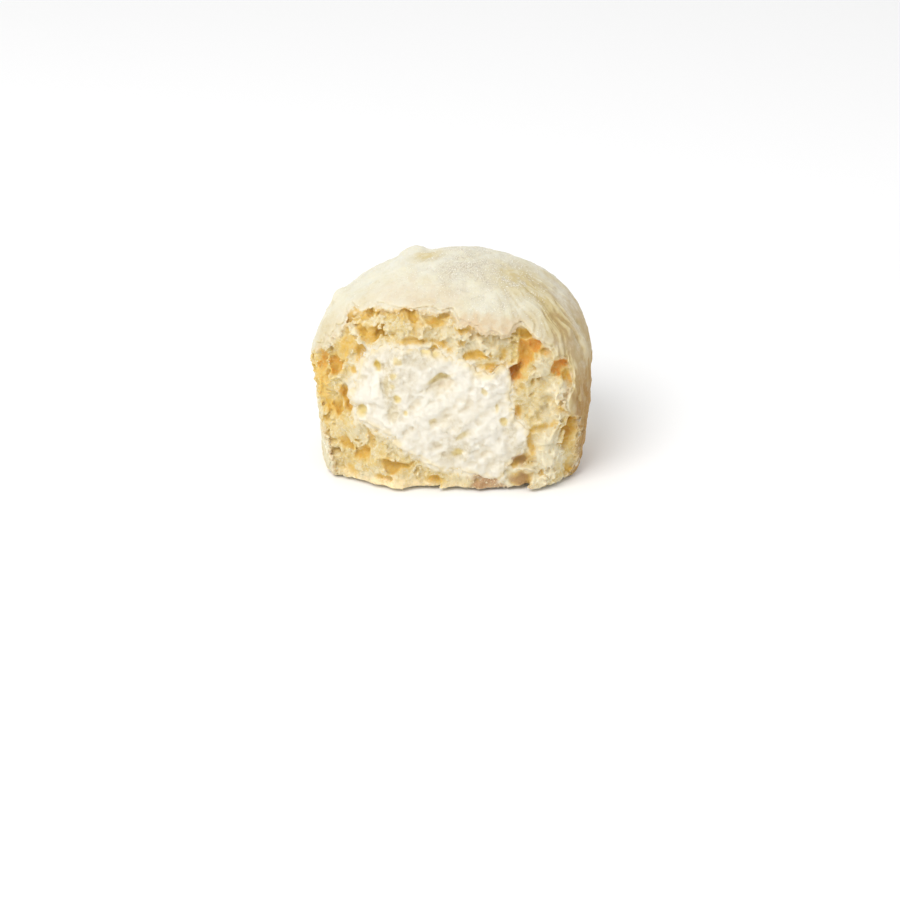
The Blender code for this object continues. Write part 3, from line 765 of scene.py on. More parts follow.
def creamDetail(points):
    # torn streaks that slope across the face, and fine curds
    tilt = math.radians(creamForm["streakTilt"])
    bend = latticeNoise(points, creamForm["streakBendLength"], 31)[:, None] * creamForm["streakBend"]
    x, y, z = (points + bend).T
    along = np.stack((x * math.cos(tilt) + z * math.sin(tilt), y,
                      z * math.cos(tilt) - x * math.sin(tilt)), axis=1)
    sizes = (creamForm["streakSizes"][0], creamForm["streakSizes"][2], creamForm["streakSizes"][1])
    streaks = latticeNoise(along, sizes, 32, octaves=2, gain=0.4)
    curds = latticeNoise(points, creamForm["curdLength"], 33, octaves=3, gain=0.5)
    return streaks * creamForm["streakHeight"] + curds * creamForm["curdHeight"]


def creamEdgeNoise(x, z):
    uneven = slowNoise(x, z, creamForm["edgeRaggedLength"], place=(9.0, 0.0, 4.0), octaves=3)
    return uneven * creamForm["edgeRagged"]


def creamBodyField(axes, ragged):
    # distance to the side of the cream, negative inside
    x, y, z = axes
    dx = x[:, None] - creamForm["centre"][0]
    dz = z[None, :] - creamForm["centre"][1]
    angle, radius = creamRadius()
    edge = np.interp(np.arctan2(dz, dx), angle, radius).astype(np.float32) + ragged
    away = np.hypot(dx, dz).astype(np.float32)
    rim = np.minimum(tearFace(x, z), 0.0)
    back = creamForm["back"]
    field = np.empty((len(x), len(y), len(z)), dtype=np.float32)
    for layer, depth in enumerate(y):
        sine = np.clip((depth - rim) / (back - rim), 0.0, 1.0)
        turn = np.arcsin(sine)
        scale = np.maximum(np.cos(turn), 0.0) ** creamForm["taper"]
        plain = edge + (creamForm["round"] - edge) * smooth(0.0, 1.0, turn)
        field[:, layer, :] = away - plain * scale
    field[:, y > back, :] = np.maximum(field[:, y > back, :], 1.0)
    return field


def meshPoints(field, axes, name):
    # turns the zero level of a field into a closed mesh and keeps its largest piece
    step = float(axes[0][1] - axes[0][0])
    grid = openvdb.FloatGrid(4.0 * step)
    grid.copyFromArray(np.clip(field, -4.0 * step, 4.0 * step))
    points, _, quads = grid.convertToPolygons(isovalue=0.0, adaptivity=0.0)
    points = points * step + np.array([axis[0] for axis in axes], dtype=np.float32)
    quads = quads.astype(np.int64)
    label = np.arange(len(points))
    while True:
        lowest = label[quads].min(axis=1)
        before = label.copy()
        for k in range(4):
            np.minimum.at(label, quads[:, k], lowest)
        label = label[label]
        if np.array_equal(before, label):
            break
    kept = np.bincount(label).argmax()
    quads = quads[label[quads[:, 0]] == kept]
    used = np.unique(quads)
    renumber = np.zeros(len(points), dtype=np.int64)
    renumber[used] = np.arange(len(used))
    points = points[used] * mm
    quads = renumber[quads]
    mesh = bpy.data.meshes.new(name)
    mesh.vertices.add(len(points))
    mesh.vertices.foreach_set("co", points.astype(np.float32).ravel())
    mesh.loops.add(quads.size)
    mesh.loops.foreach_set("vertex_index", quads.astype(np.int32).ravel())
    mesh.polygons.add(len(quads))
    mesh.polygons.foreach_set("loop_start", np.arange(0, quads.size, 4, dtype=np.int32))
    mesh.update(calc_edges=True)
    mesh.validate()
    piece = bpy.data.objects.new(name, mesh)
    bpy.context.scene.collection.objects.link(piece)
    return piece


def thinOut(piece, triangles):
    # fewer triangles where the surface is smooth
    count = sum(len(face.vertices) - 2 for face in piece.data.polygons)
    print(piece.name, "has", count, "triangles before it is thinned out")
    if count > triangles:
        thin = piece.modifiers.new("thin", "DECIMATE")
        thin.ratio = triangles / count
        applyModifiers(piece)
    piece.data.shade_smooth()


def applyModifiers(piece):
    bpy.context.view_layer.update()
    shape = piece.evaluated_get(bpy.context.evaluated_depsgraph_get())
    mesh = bpy.data.meshes.new_from_object(shape)
    piece.modifiers.clear()
    old = piece.data
    piece.data = mesh
    mesh.name = piece.name
    bpy.data.meshes.remove(old)


def vertexArrays(mesh):
    points = np.empty(len(mesh.vertices) * 3, dtype=np.float32)
    mesh.vertices.foreach_get("co", points)
    normals = np.empty(len(mesh.vertices) * 3, dtype=np.float32)
    mesh.vertex_normals.foreach_get("vector", normals)
    return points.reshape(-1, 3) / mm, normals.reshape(-1, 3)


def storeAttributes(mesh, values):
    for name, numbers in values.items():
        layer = mesh.attributes.new(name, "FLOAT", "POINT")
        layer.data.foreach_set("value", np.asarray(numbers, dtype=np.float32))


def nearFill(field, axes, points, normals):
    # how much of the space just off the surface is filled, as in a hollow
    near = boxBlur(np.clip(0.5 - field, 0.0, 1.0), 2)
    return sampleField(near, axes, points + normals * crumb["nearReach"])


def tornSheets(axes, crust, creamAway):
    # y of the torn face, how far inside the crust's edge it is, and how level with the cream
    x, y, z = axes
    tear, inner = tearSheet(x, z)
    blend = smooth(0.0, tearForm["lipBlend"], inner)
    lip = frontSheet(crust, y) + tearForm["lipStep"]
    tear = lip + (tear - lip) * blend + np.minimum(inner, 0.0) * tearForm["edgeSteepness"]
    level = smooth(*crumb["creamLevel"], creamAway)
    tear = tear + (creamSheet(x, z) + crumb["creamStep"] - tear) * level * (inner > 0.0)
    tear = tear - patchSheet(x, z, tearForm["strands"]) * (1.0 - level) * (inner > 0.0)
    return tear, inner, level


def peeledFields(axes, inner):
    # how open the crumb lies, and how much crust is peeled off where it reaches round the side
    _, y, z = axes
    rear = tearForm["rearY"] - (z - tearForm["rearHeight"]) ** 2 * tearForm["rearBend"]
    ragged = slowNoise(y, z, 3.0, place=(4.0, 1.0, 6.0), octaves=2) * tearForm["rearRagged"]
    rear = np.maximum(rear, tearForm["rearEnd"])[None, :] - y[:, None] + ragged
    opened = smooth(-0.2, 1.0, inner)[:, None, :] * smooth(-1.0, 2.0, rear)[None, :, :]
    peel = tearForm["peel"] * smooth(-0.3, 2.6, inner)[:, None, :] * smooth(0.5, 6.0, rear)[None, :, :]
    return opened, peel


def shapeBread(axes):
    # the bread's field, and what its colours need to know
    x, y, z = axes
    crust = crustField(axes)
    print("bread: crust form")
    creamAway = outlineDistance(x, z, creamOutline())
    calm = patchSheet(x, z, tearForm["calm"])
    tear, inner, level = tornSheets(axes, crust, creamAway)
    slopeX, slopeZ = np.gradient(tear, crumb["voxel"])
    steep = np.minimum(np.sqrt(1.0 + slopeX ** 2 + slopeZ ** 2), 4.0)
    torn = (tear[:, None, :] - y[None, :, None]) / steep[:, None, :]
    field = smoothMax(crust, torn, tearForm["lipRound"])
    opened, peel = peeledFields(axes, inner)
    field = np.maximum(field, crust + peel)
    face = frontSheet(field, y)

    # the front half, where the crumb lies open
    frontEnd = int(np.searchsorted(y, crumb["frontEnd"]))
    front = [x, y[:frontEnd], z]
    ahead = np.s_[:, :frontEnd]
    nearby = np.where(opened[ahead] > 0.01, field[ahead], farOff)
    index, points = nearSurface(nearby, front, crumb["reliefReach"])
    calmer = (1.0 - calm[index[0], index[2]]) * (1.0 - crumb["creamCalm"] * level[index[0], index[2]])
    calmer *= smooth(-0.2, 1.8, inner)[index[0], index[2]]
    field[index] -= crumbRelief(points)[0] * calmer * opened[index]
    field = np.maximum(field, np.maximum(crust - crumb["overCrust"] * opened, -z))
    print("bread: torn face")

    warp = [cloudNoise(front, crumb["warpLength"], crumb["seed"] + k, octaves=3) * crumb["warp"]
            for k in (1, 2, 3)]
    places = hollowPlaces(x, z, face)
    hollows = hollowField(front, warp, places)
    pores, made = poreField(front, x, z, face, inner, creamAway, calm, warp, places)
    bare = opened[ahead] * smooth(0.2, 1.3, inner)[:, None, :]
    for kind, carved in (("hollow", hollows), ("pore", pores)):
        skin = crumb[kind + "Skin"]
        carved = np.maximum(carved, crust[ahead] + skin - (skin + 2.0) * bare)
        carved = np.maximum(carved, crumb[kind + "Rim"] - inner[:, None, :])
        field[ahead] = smoothMax(field[ahead], -carved, crumb[kind + "Softness"])
    walls = np.where(hollows < crumb["hollowReach"], field[ahead], farOff)
    index, points = nearSurface(walls, front, crumb["wallReach"])
    field[index] -= crumbRelief(points)[0] * crumb["roughWalls"] * bare[index]
    pocket = creamBodyField(axes, creamEdgeNoise(x, z))
    field = np.maximum(field, np.maximum(-(pocket + creamForm["tuck"]), -z))
    print("bread: pores", made)
    sheets = {"face": face, "calm": calm, "inner": inner, "creamAway": creamAway}
    return field, {"depth": -crust, "opened": opened}, sheets, (front, warp, places)


crumbTints = {
    # colours that lie on the torn face: x, z, half width, half height, share, and for some a tilt
    "pale": (
        (31.5, 32, 3.6, 3.2, 1), (1.6, 50.6, 5, 2.2, 0.5), (4, 46.6, 9, 3.6, 0.7),
        (-9, 48.4, 7, 2.6, 0.6), (27.5, 25.5, 5, 3, 0.5), (25, 28.5, 4, 3, 0.4), (27, 4.5, 4.5, 3, 0.8),
        (-16.5, 11.5, 2.4, 1.8, 0.5), (-25, 18, 3, 3, 0.3), (27.7, 13, 5, 8, 0.85),
        (27, 39.8, 4, 4.6, 0.5), (-22.6, 52.4, 3.8, 1.6, 0.6), (-27.2, 47.6, 1, 4, 0.8, 40),
        (14, 52, 4, 1.2, 0.6), (2, 55.5, 2.4, 1.6, 0.5), (-29, 39.6, 2, 1.6, 0.5),
        (-32, 31.5, 2.4, 3, 0.7), (19.4, 7.4, 4.4, 0.9, 0.9), (15.6, 3.4, 1.8, 3.2, 1),
        (31, 22.4, 1.2, 4, 0.8, -30), (-34.5, 45.6, 3.4, 1.3, 0.9, 40), (-36.6, 4, 1.4, 8, 0.9),
        (-40.4, 25.6, 1, 1.4, 1),
    ),
    "yellow": (
        (-37.4, 32, 5.2, 10.5, 1), (-31.8, 43.6, 2.6, 5, 0.9, -24), (-33.5, 24.5, 4.6, 4.5, 0.8),
        (-24.2, 55.4, 6, 1.4, 0.9, 15), (-22.5, 49.6, 5.5, 3, 0.7), (-12, 55.5, 7, 2.4, 0.5),
        (-12, 48.5, 8, 1.8, 0.45), (-22, 9.5, 10, 4, 0.55), (-31, 12.5, 4, 3, 0.4),
        (-4.5, 4.6, 5, 3, 0.6), (20.6, 45, 3.6, 9, 0.9), (31.5, 40, 3.6, 3.4, 0.7), (24, 29, 6, 5, 0.45),
        (24, 20, 2.6, 6, 0.6), (35, 17, 3, 8, 0.9), (-33, 8, 4, 4, 0.5), (-34, 17, 4, 4, 0.6),
    ),
    "blush": ((10, 53, 10, 3.4, 0.75), (-6, 53, 8, 3, 0.35), (-8, 60, 12, 3, 0.35)),
    "toasted": ((9.9, 3.6, 3.8, 3.2, 1), (13.4, 1.2, 4, 1.2, 0.8)),
    # painted light: brighter crumb along the base, where light thrown up from below would fall
    "bright": (
        (-17.6, 1.6, 12, 2.6, 1), (1, 1.4, 5, 1.6, 0.5), (-31, 3, 3, 2, 0.5), (-9, 4, 3, 2.4, 0.3),
        (32, 31.5, 3, 3, 0.35),
    ),
    # painted shade on the beige crumb in the tunnel under the cream's lower right
    "shadedBeige": ((20.4, 3.4, 2.6, 2.6, 1), (19.4, 10, 3.2, 1.7, 0.9)),
}


crustTints = {
    # places of the crust: x, y, z, radius, share
    "golden": (
        (-7, -2, 65, 5.5, 1), (-10, -14, 62, 5, 0.25), (-41, -14, 47, 9, 0.75),
        (23.5, -24, 53.5, 4.5, 0.6), (-36, -22, 44, 6, 0.4), (4, -22, 60, 7, 0.15),
        (30, -20, 51, 8, 0.9), (33, -24, 42, 7, 0.6), (-24, -12, 58, 7, 0.35), (36, -8, 46, 9, 0.35),
        (28, -15, 56, 7, 0.8), (-38, -18, 50, 7, 0.7), (19, -12, 60, 10, 0.9),
    ),
    # tan low on the right: partly the crust's own tan, partly painted shade on the side away from the lamp
    "tan": (
        (41, -16, 20, 12, 1), (40, -14, 10, 12, 1), (-41, -16, 47, 7, 0.2),
    ),
}


def buildBread():
    axes = gridAxes(crumb["low"], crumb["high"], crumb["voxel"])
    x, _, z = axes
    field, fields, sheets, (front, warp, places) = shapeBread(axes)
    piece = meshPoints(field, axes, "breadBun")
    thinOut(piece, crumb["triangles"])
    points, normals = vertexArrays(piece.data)
    values = {name: sampleField(part, axes, points) for name, part in fields.items()}
    values.update({name: sampleSheet(part, x, z, points) for name, part in sheets.items()})
    values["nearFill"] = nearFill(field, axes, points, normals)
    values["sunk"] = points[:, 1] - values.pop("face")
    opened = values["opened"]
    bends = np.stack([sampleField(part, front, points) for part in warp], axis=1)
    # painted warm glow in the hollows and in the golden places round them
    gold, goldDeep = goldShares(points, bends, places)
    golden = sampleSheet(patchSheet(x, z, tearForm["golden"]), x, z, points) * opened
    values["goldDeep"] = np.where(golden > gold, tearForm["goldenDeep"], goldDeep)
    values["gold"] = np.maximum(gold, golden)
    raised = smooth(0.9, 0.0, values["sunk"]) * smooth(0.4, 0.1, values["nearFill"])
    raised = raised * (1.0 - values["gold"]) * (1.0 - values.pop("calm"))
    values["fluffy"] = raised * smooth(0.5, 0.9, opened)
    values["powdery"] = powderShare(points, normals, values["depth"]) * (1.0 - smooth(0.0, 0.3, opened))
    values["folds"] = crustFolds(points)
    values["strand"] = crumbRelief(points)[1] + 0.4
    values["facingUp"] = normals[:, 2]
    values["facingRight"] = normals[:, 0]
    values["goldenCrust"] = ballShare(points, crustTints["golden"])
    values["tanShadeCrust"] = ballShare(points, crustTints["tan"])
    inFront = np.maximum(smooth(-6.0, -14.0, points[:, 1]), opened)
    for name, patches in crumbTints.items():
        values[name] = sampleSheet(patchSheet(x, z, patches), x, z, points) * inFront
    storeAttributes(piece.data, values)
    print("bread:", len(piece.data.polygons), "faces")
    return piece


powder = {
    # where it lies thick: x, y, z, radius, share
    "thick": ((6, -10, 65, 13, 1), (17, -14, 60, 12, 0.9)),
    "bareSide": (30.0, 17.0),  # x where there is none, and from which it thins out
    "thin": 0.03,
    "clumps": (0.6, 1.1),
    "clumpLength": 2.6,
    "clumpMost": 1.6,
}


def ballShare(points, balls):
    # the strongest of some soft balls: x, y, z, radius, share
    share = np.zeros(len(points), dtype=np.float32)
    for x, y, z, radius, height in balls:
        away = ((points - (x, y, z)) ** 2).sum(1) / radius ** 2
        share = np.maximum(share, height * np.exp(-away))
    return share


def powderShare(points, normals, depth):
    # how thickly the powder lies: on the crust, where it faces up
    share = np.maximum(powder["thin"], ballShare(points, powder["thick"]))
    level, height = powder["clumps"]
    clumped = level + height * latticeNoise(points, powder["clumpLength"], 41, octaves=2)
    clumped = np.clip(clumped, 0.0, powder["clumpMost"])
    share = share * smooth(*powder["bareSide"], points[:, 0])
    return share * clumped * smooth(-0.1, 0.6, normals[:, 2]) * smooth(0.5, 0.2, depth)


def buildCream():
    edge = np.array(creamForm["edge"])
    low, high = edge.min(axis=0) - creamForm["margin"], edge.max(axis=0) + creamForm["margin"]
    low, high = (low[0], creamForm["foremost"], low[1]), (high[0], creamForm["back"] + 2.0, high[1])
    axes = gridAxes(low, high, creamForm["voxel"])
    x, y, z = axes
    body = creamBodyField(axes, creamEdgeNoise(x, z))
    sheet = creamSheet(x, z).astype(np.float32)
    slopeX, slopeZ = np.gradient(sheet, creamForm["voxel"])
    steep = np.sqrt(1.0 + slopeX ** 2 + slopeZ ** 2)
    face = (sheet[:, None, :] - y[None, :, None]) / steep[:, None, :]
    index, points = nearSurface(np.maximum(np.abs(face), body), axes, creamForm["detailReach"])
    face[index] -= creamDetail(points)
    field = smoothMax(body, face, creamForm["rimRound"])
    piece = meshPoints(field, axes, "whippedCream")
    thinOut(piece, creamForm["triangles"])
    points, normals = vertexArrays(piece.data)
    stains = [(*pit[:4], pit[6], pit[5]) for pit in creamForm["pits"]]
    sheets = {
        "stain": patchSheet(x, z, stains),
        "shadedDull": patchSheet(x, z, creamForm["shadedDull"]),
        "edgeAway": outlineDistance(x, z, creamOutline()),
        "dip": boxBlur(sheet[:, None, :], creamForm["dipRadius"])[:, 0, :],
    }
    values = {name: sampleSheet(part, x, z, points) for name, part in sheets.items()}
    values["dip"] = points[:, 1] - values["dip"]
    values["nearFill"] = nearFill(field, axes, points, normals)
    storeAttributes(piece.data, values)
    print("cream:", len(piece.data.polygons), "faces")
    return piece


class MaterialMaker:
    # a new material, with short ways to add nodes to it
    def __init__(self, name):
        self.material = bpy.data.materials.new(name)
        self.material.use_nodes = True
        self.nodes = self.material.node_tree.nodes
        self.links = self.material.node_tree.links
        self.inputs = self.nodes["Principled BSDF"].inputs
        self.coordinates = None

    def feed(self, socket, value):
        if isinstance(value, tuple):
            socket.default_value = (*value, 1.0)
        elif isinstance(value, (int, float)):
            socket.default_value = value
        else:
            self.links.new(value, socket)

    def place(self):
        if self.coordinates is None:
            self.coordinates = self.nodes.new("ShaderNodeTexCoord").outputs["Object"]
        return self.coordinates

    def attribute(self, name):
        node = self.nodes.new("ShaderNodeAttribute")
        node.attribute_name = name
        return node.outputs["Fac"]

    def noise(self, perMillimetre, detail):
        node = self.nodes.new("ShaderNodeTexNoise")
        node.inputs["Scale"].default_value = perMillimetre / mm
        node.inputs["Detail"].default_value = detail
        node.inputs["Roughness"].default_value = 0.6
        self.links.new(self.place(), node.inputs["Vector"])
        return node.outputs["Fac"]

    def spread(self, source, low, high, outLow=0.0, outHigh=1.0):
        # takes a value smoothly from one range to another
        node = self.nodes.new("ShaderNodeMapRange")
        node.interpolation_type = "SMOOTHSTEP"
        for socket, value in zip(node.inputs, (source, low, high, outLow, outHigh)):
            self.feed(socket, value)
        return node.outputs["Result"]

    def ramp(self, source, *stops):
        node = self.nodes.new("ShaderNodeValToRGB")
        elements = node.color_ramp.elements
        while len(elements) < len(stops):
            elements.new(0.5)
        for element, (place, colour) in zip(elements, stops):
            element.position = place
            element.color = (*colour, 1.0)
        self.links.new(source, node.inputs["Fac"])
        return node.outputs["Color"]

    def mix(self, share, first, second):
        node = self.nodes.new("ShaderNodeMix")
        node.data_type = "RGBA"
        for number, value in ((0, share), (6, first), (7, second)):
            self.feed(node.inputs[number], value)
        return node.outputs[2]

    def coat(self, colour, look, coats):
        # lays colours of a look over one colour, each with its own share
        for share, name in coats:
            colour = self.mix(share, colour, look[name])
        return colour

    def combine(self, operation, *values):
        node = self.nodes.new("ShaderNodeMath")
        node.operation = operation
        for socket, value in zip(node.inputs, values):
            self.feed(socket, value)
        return node.outputs[0]

    def times(self, first, second):
        return self.combine("MULTIPLY", first, second)

    def plus(self, first, second):
        return self.combine("ADD", first, second)

    def grain(self, height, strength):
        node = self.nodes.new("ShaderNodeBump")
        node.inputs["Strength"].default_value = strength
        node.inputs["Distance"].default_value = 0.4 * mm
        self.links.new(height, node.inputs["Height"])
        self.links.new(node.outputs["Normal"], self.inputs["Normal"])

    def glow(self, weight, radius, scale):
        # light that runs on under the surface
        self.feed(self.inputs["Subsurface Weight"], weight)
        self.inputs["Subsurface Radius"].default_value = radius
        self.inputs["Subsurface Scale"].default_value = scale * mm

    def finish(self, colour, roughness, specular=0.5):
        self.feed(self.inputs["Base Color"], colour)
        self.inputs["Roughness"].default_value = roughness
        self.inputs["Specular IOR Level"].default_value = specular
        return self.material


breadLook = {
    # crumbYellow and crumbGold are painted shade and warm glow for sunk, enclosed crumb
    "crumbPale": (0.64, 0.555, 0.35),
    "crumbYellow": (0.64, 0.495, 0.21),
    "crumbGold": (0.60, 0.40, 0.12),
    "crumbWhite": (0.71, 0.65, 0.48),
    # bright is painted light for crumb lit from below
    "bright": (0.86, 0.70, 0.43),
    # goldPale, gold and goldDeep are painted warm glow of light bounced inside the hollows; goldPale also
    # makes random flecks
    "goldPale": (0.68, 0.465, 0.14),
    "gold": (0.625, 0.40, 0.085),
    "goldDeep": (0.64, 0.27, 0.052),
    "blush": (0.63, 0.505, 0.335),
    "smear": (0.72, 0.665, 0.53),
    "toasted": (0.43, 0.26, 0.135),
    # painted shade for the beige crumb of the tunnel under the cream
    "shadedBeige": (0.375, 0.22, 0.105),
    "crust": (0.70, 0.66, 0.495),
    "crustGolden": (0.60, 0.495, 0.265),
    # crustTanShade is partly the crust's own tan, partly painted shade on the side away from the lamp
    "crustTanShade": (0.365, 0.21, 0.066),
    # painted highlight on the crests of the folds and painted shade in their creases
    "foldHighlight": (0.65, 0.58, 0.41),
    "foldShade": (0.46, 0.355, 0.145),
    "powder": (0.712, 0.69, 0.585),
    "powderShadow": (0.565, 0.50, 0.385),
    "base": (0.473, 0.310, 0.155),
}


def crumbColour(made, cloudy, fine):
    # pale where it stands out, with painted shade and a painted warm glow of bounced light: yellow lower
    # down, golden in the hollows
    attribute, spread, times, plus = made.attribute, made.spread, made.times, made.plus
    fleck = made.noise(0.85, 2.0)
    grit = made.noise(2.2, 2.0)
    # how sunk and enclosed a place is, which sets its painted shade and glow
    lower = plus(times(attribute("sunk"), 0.25), times(attribute("nearFill"), 1.4))
    lower = plus(lower, spread(cloudy, 0.3, 0.7, -0.2, 0.2))
    lower = plus(lower, spread(fine, 0.35, 0.65, -0.2, 0.2))
    standsOut = spread(lower, 0.9, 0.3)
    strand = times(spread(attribute("strand"), 0.5, 1.0, 0.0, 0.6), spread(fine, 0.35, 0.6))
    smear = times(spread(attribute("creamAway"), -3.2, 0.2), spread(cloudy, 0.38, 0.54))
    yellowish = times(attribute("yellow"), spread(cloudy, 0.3, 0.55, 0.5, 1.0))
    underLip = times(spread(attribute("inner"), 3.0, 0.6), spread(cloudy, 0.35, 0.6, 0.3, 0.8))
    inside = made.ramp(spread(lower, 0.0, 1.2), (0.0, breadLook["crumbPale"]),
                       (0.5, breadLook["crumbYellow"]), (1.0, breadLook["crumbGold"]))
    inside = made.coat(inside, breadLook, (
        (spread(fleck, 0.54, 0.66, 0.0, 0.55), "goldPale"),
        (spread(grit, 0.55, 0.68, 0.0, 0.5), "crumbWhite"),
        (times(strand, standsOut), "crumbWhite"),
        (times(attribute("pale"), spread(lower, 1.3, 0.6)), "crumbWhite"),
        (times(smear, standsOut), "smear"),
        (spread(attribute("creamAway"), -1.4, -0.2), "smear"),
        (times(yellowish, spread(grit, 0.68, 0.45)), "crumbYellow"),
        (plus(underLip, times(attribute("blush"), 0.6)), "blush"),
        # painted light along the base
        (times(attribute("bright"), spread(fleck, 0.6, 0.45, 0.3, 1.0)), "bright"),
    ))
    # painted warm glow of light bounced inside the hollows, paler at their edges
    goldness = times(attribute("goldDeep"), spread(attribute("gold"), 0.1, 0.95, 0.3, 1.0))
    golden = made.ramp(plus(goldness, spread(cloudy, 0.3, 0.7, -0.12, 0.12)), (0.1, breadLook["goldPale"]),
                       (0.5, breadLook["gold"]), (1.0, breadLook["goldDeep"]))
    goldShare = plus(attribute("gold"), spread(fine, 0.3, 0.7, 0.22, -0.22))
    inside = made.mix(spread(goldShare, 0.1, 0.95), inside, golden)
    return made.coat(inside, breadLook, (
        (times(attribute("toasted"), spread(fine, 0.35, 0.55, 0.7, 1.0)), "toasted"),
        # painted shade in the tunnel under the cream
        (times(attribute("shadedBeige"), 0.8), "shadedBeige"),
    ))


def crustColour(made, mottle, cloudy, fine):
    # creamy above, tan on the right and low down, partly the crust's own tan and partly painted shade on
    # the side away from the lamp, with powder on it
    attribute, spread, times, plus = made.attribute, made.spread, made.times, made.plus
    where = made.nodes.new("ShaderNodeSeparateXYZ")
    made.links.new(made.place(), where.inputs[0])
    x, y, z = where.outputs
    # tan and golden towards the right and where it faces right, more in fold creases: partly own colour,
    # partly painted shade
    rightTanShade = plus(spread(attribute("facingRight"), 0.1, 1.0, 0.0, 0.7), spread(x, 0.012, 0.042, 0.0, 0.45))
    rightTanShade = plus(rightTanShade, spread(mottle, 0.35, 0.65, -0.15, 0.15))
    rightTanShade = plus(rightTanShade, spread(attribute("folds"), 0.3, -0.35, -0.2, 0.2))
    golden = spread(rightTanShade, 0.1, 0.6)
    lowBehind = times(spread(z, 0.036, 0.004), spread(y, -0.022, -0.002))
    for more in (
        times(attribute("goldenCrust"), spread(cloudy, 0.3, 0.6, 0.5, 1.0)),
        plus(spread(cloudy, 0.5, 0.68, 0.0, 0.22), spread(fine, 0.5, 0.68, 0.0, 0.16)),
        spread(attribute("facingUp"), 0.6, -0.1, 0.0, 0.3),
        times(lowBehind, spread(mottle, 0.3, 0.65, 0.25, 0.6)),
    ):
        golden = plus(golden, more)
    notTanShade = spread(attribute("tanShadeCrust"), 0.0, 0.6, 1.0, 0.25)
    dusted = times(spread(attribute("facingUp"), -0.1, 0.9), spread(mottle, 0.3, 0.66, 0.3, 0.9))
    dusted = times(dusted, spread(attribute("goldenCrust"), 0.8, 0.1))
    dusted = times(dusted, spread(fine, 0.4, 0.65, 1.0, 0.7))
    nearLip = times(spread(attribute("inner"), -4.5, -0.5, 0.0, 0.25), spread(z, 0.040, 0.050))
    nearLip = times(nearLip, spread(y, -0.008, -0.016))
    speckle = plus(times(attribute("powdery"), spread(fine, 0.6, 0.42, 0.25, 1.0)),
                   spread(fine, 0.45, 0.35, 0.0, 0.15))
    return made.coat(breadLook["crust"], breadLook, (
        (golden, "crustGolden"),
        # tan on the right: partly own colour, partly painted shade
        (plus(spread(rightTanShade, 0.5, 1.0, 0.0, 0.6), attribute("tanShadeCrust")), "crustTanShade"),
        # painted highlight on fold crests, painted shade in fold creases
        (times(spread(attribute("folds"), 0.1, 0.7, 0.0, 0.4), notTanShade), "foldHighlight"),
        (spread(attribute("folds"), -0.1, -0.7, 0.0, 0.4), "foldShade"),
        (dusted, "powder"),
        (plus(nearLip, times(attribute("blush"), spread(cloudy, 0.3, 0.6, 0.4, 1.0))), "blush"),
        (speckle, "powderShadow"),
        (spread(attribute("facingUp"), -0.6, -0.9), "base"),
    ))


def breadMaterial():
    made = MaterialMaker("milk bread")
    attribute, spread, plus = made.attribute, made.spread, made.plus
    mottle = made.noise(0.16, 4.0)
    cloudy = made.noise(0.4, 3.0)
    fine = made.noise(1.5, 3.0)
    shell = spread(plus(attribute("depth"), spread(cloudy, 0.3, 0.7, -0.4, 0.4)), 1.2, 0.4)
    uneven = plus(spread(fine, 0.3, 0.7, -0.6, 0.6), spread(cloudy, 0.3, 0.7, -0.6, 0.6))
    atLip = spread(plus(attribute("inner"), uneven), 1.7, 0.1)
    atSide = spread(plus(attribute("opened"), spread(fine, 0.3, 0.7, -0.25, 0.25)), 0.75, 0.25)
    isCrust = made.times(shell, made.combine("MAXIMUM", atLip, atSide))
    colour = made.mix(isCrust, crumbColour(made, cloudy, fine), crustColour(made, mottle, cloudy, fine))
    # light doesn't run on where the crumb meets the cream
    made.glow(spread(attribute("creamAway"), -0.5, -2.2, 0.0, 0.85), (1.0, 0.9, 0.75), 1.3)
    made.grain(fine, 0.7)
    return made.finish(colour, 0.72, 0.18)


creamLook = {
    "bright": (0.725, 0.69, 0.60),
    # low and deep are painted shade for the cream's dips and enclosed places
    "low": (0.705, 0.645, 0.51),
    "deep": (0.66, 0.57, 0.41),
    # painted shade, partly the cream's own yellowish tone
    "shadedDull": (0.58, 0.51, 0.36),
    "stain": (0.71, 0.555, 0.165),
    "crumbly": (0.71, 0.60, 0.37),
}


def creamMaterial():
    made = MaterialMaker("whipped cream")
    attribute, spread, times, plus = made.attribute, made.spread, made.times, made.plus
    cloudy = made.noise(0.3, 3.0)
    fine = made.noise(1.0, 4.0)
    # painted shade: darker and warmer in dips and where the space off the surface is enclosed
    shade = plus(attribute("nearFill"), spread(attribute("dip"), -0.9, 1.3, -0.15, 0.55))
    shade = plus(shade, spread(cloudy, 0.3, 0.7, -0.15, 0.15))
    colour = made.ramp(spread(shade, 0.05, 0.95), (0.0, creamLook["bright"]), (0.5, creamLook["low"]),
                       (1.0, creamLook["deep"]))
    rim = times(spread(attribute("edgeAway"), 2.4, 0.2), spread(cloudy, 0.4, 0.58, 0.3, 0.9))
    rim = made.combine("MAXIMUM", rim, spread(attribute("edgeAway"), 0.9, -0.3, 0.0, 0.6))
    colour = made.coat(colour, creamLook, (
        # painted shade in shadowed bands and spots of the cream
        (times(attribute("shadedDull"), spread(fine, 0.35, 0.6, 1.0, 0.35)), "shadedDull"),
        (attribute("stain"), "stain"),
        (rim, "crumbly"),
    ))
    made.glow(spread(attribute("edgeAway"), 0.5, 2.5, 0.0, 0.9), (1.0, 0.95, 0.85), 2.4)
    made.grain(fine, 0.25)
    return made.finish(colour, 0.55, 0.25)


def grainMaterial(settings):
    made = MaterialMaker(settings["material"])
    patches = made.spread(made.noise(settings["patchesPerMillimetre"], 2.0), 0.4, 0.6)
    return made.finish(made.mix(patches, *settings["colours"]), 0.8, 0.2)


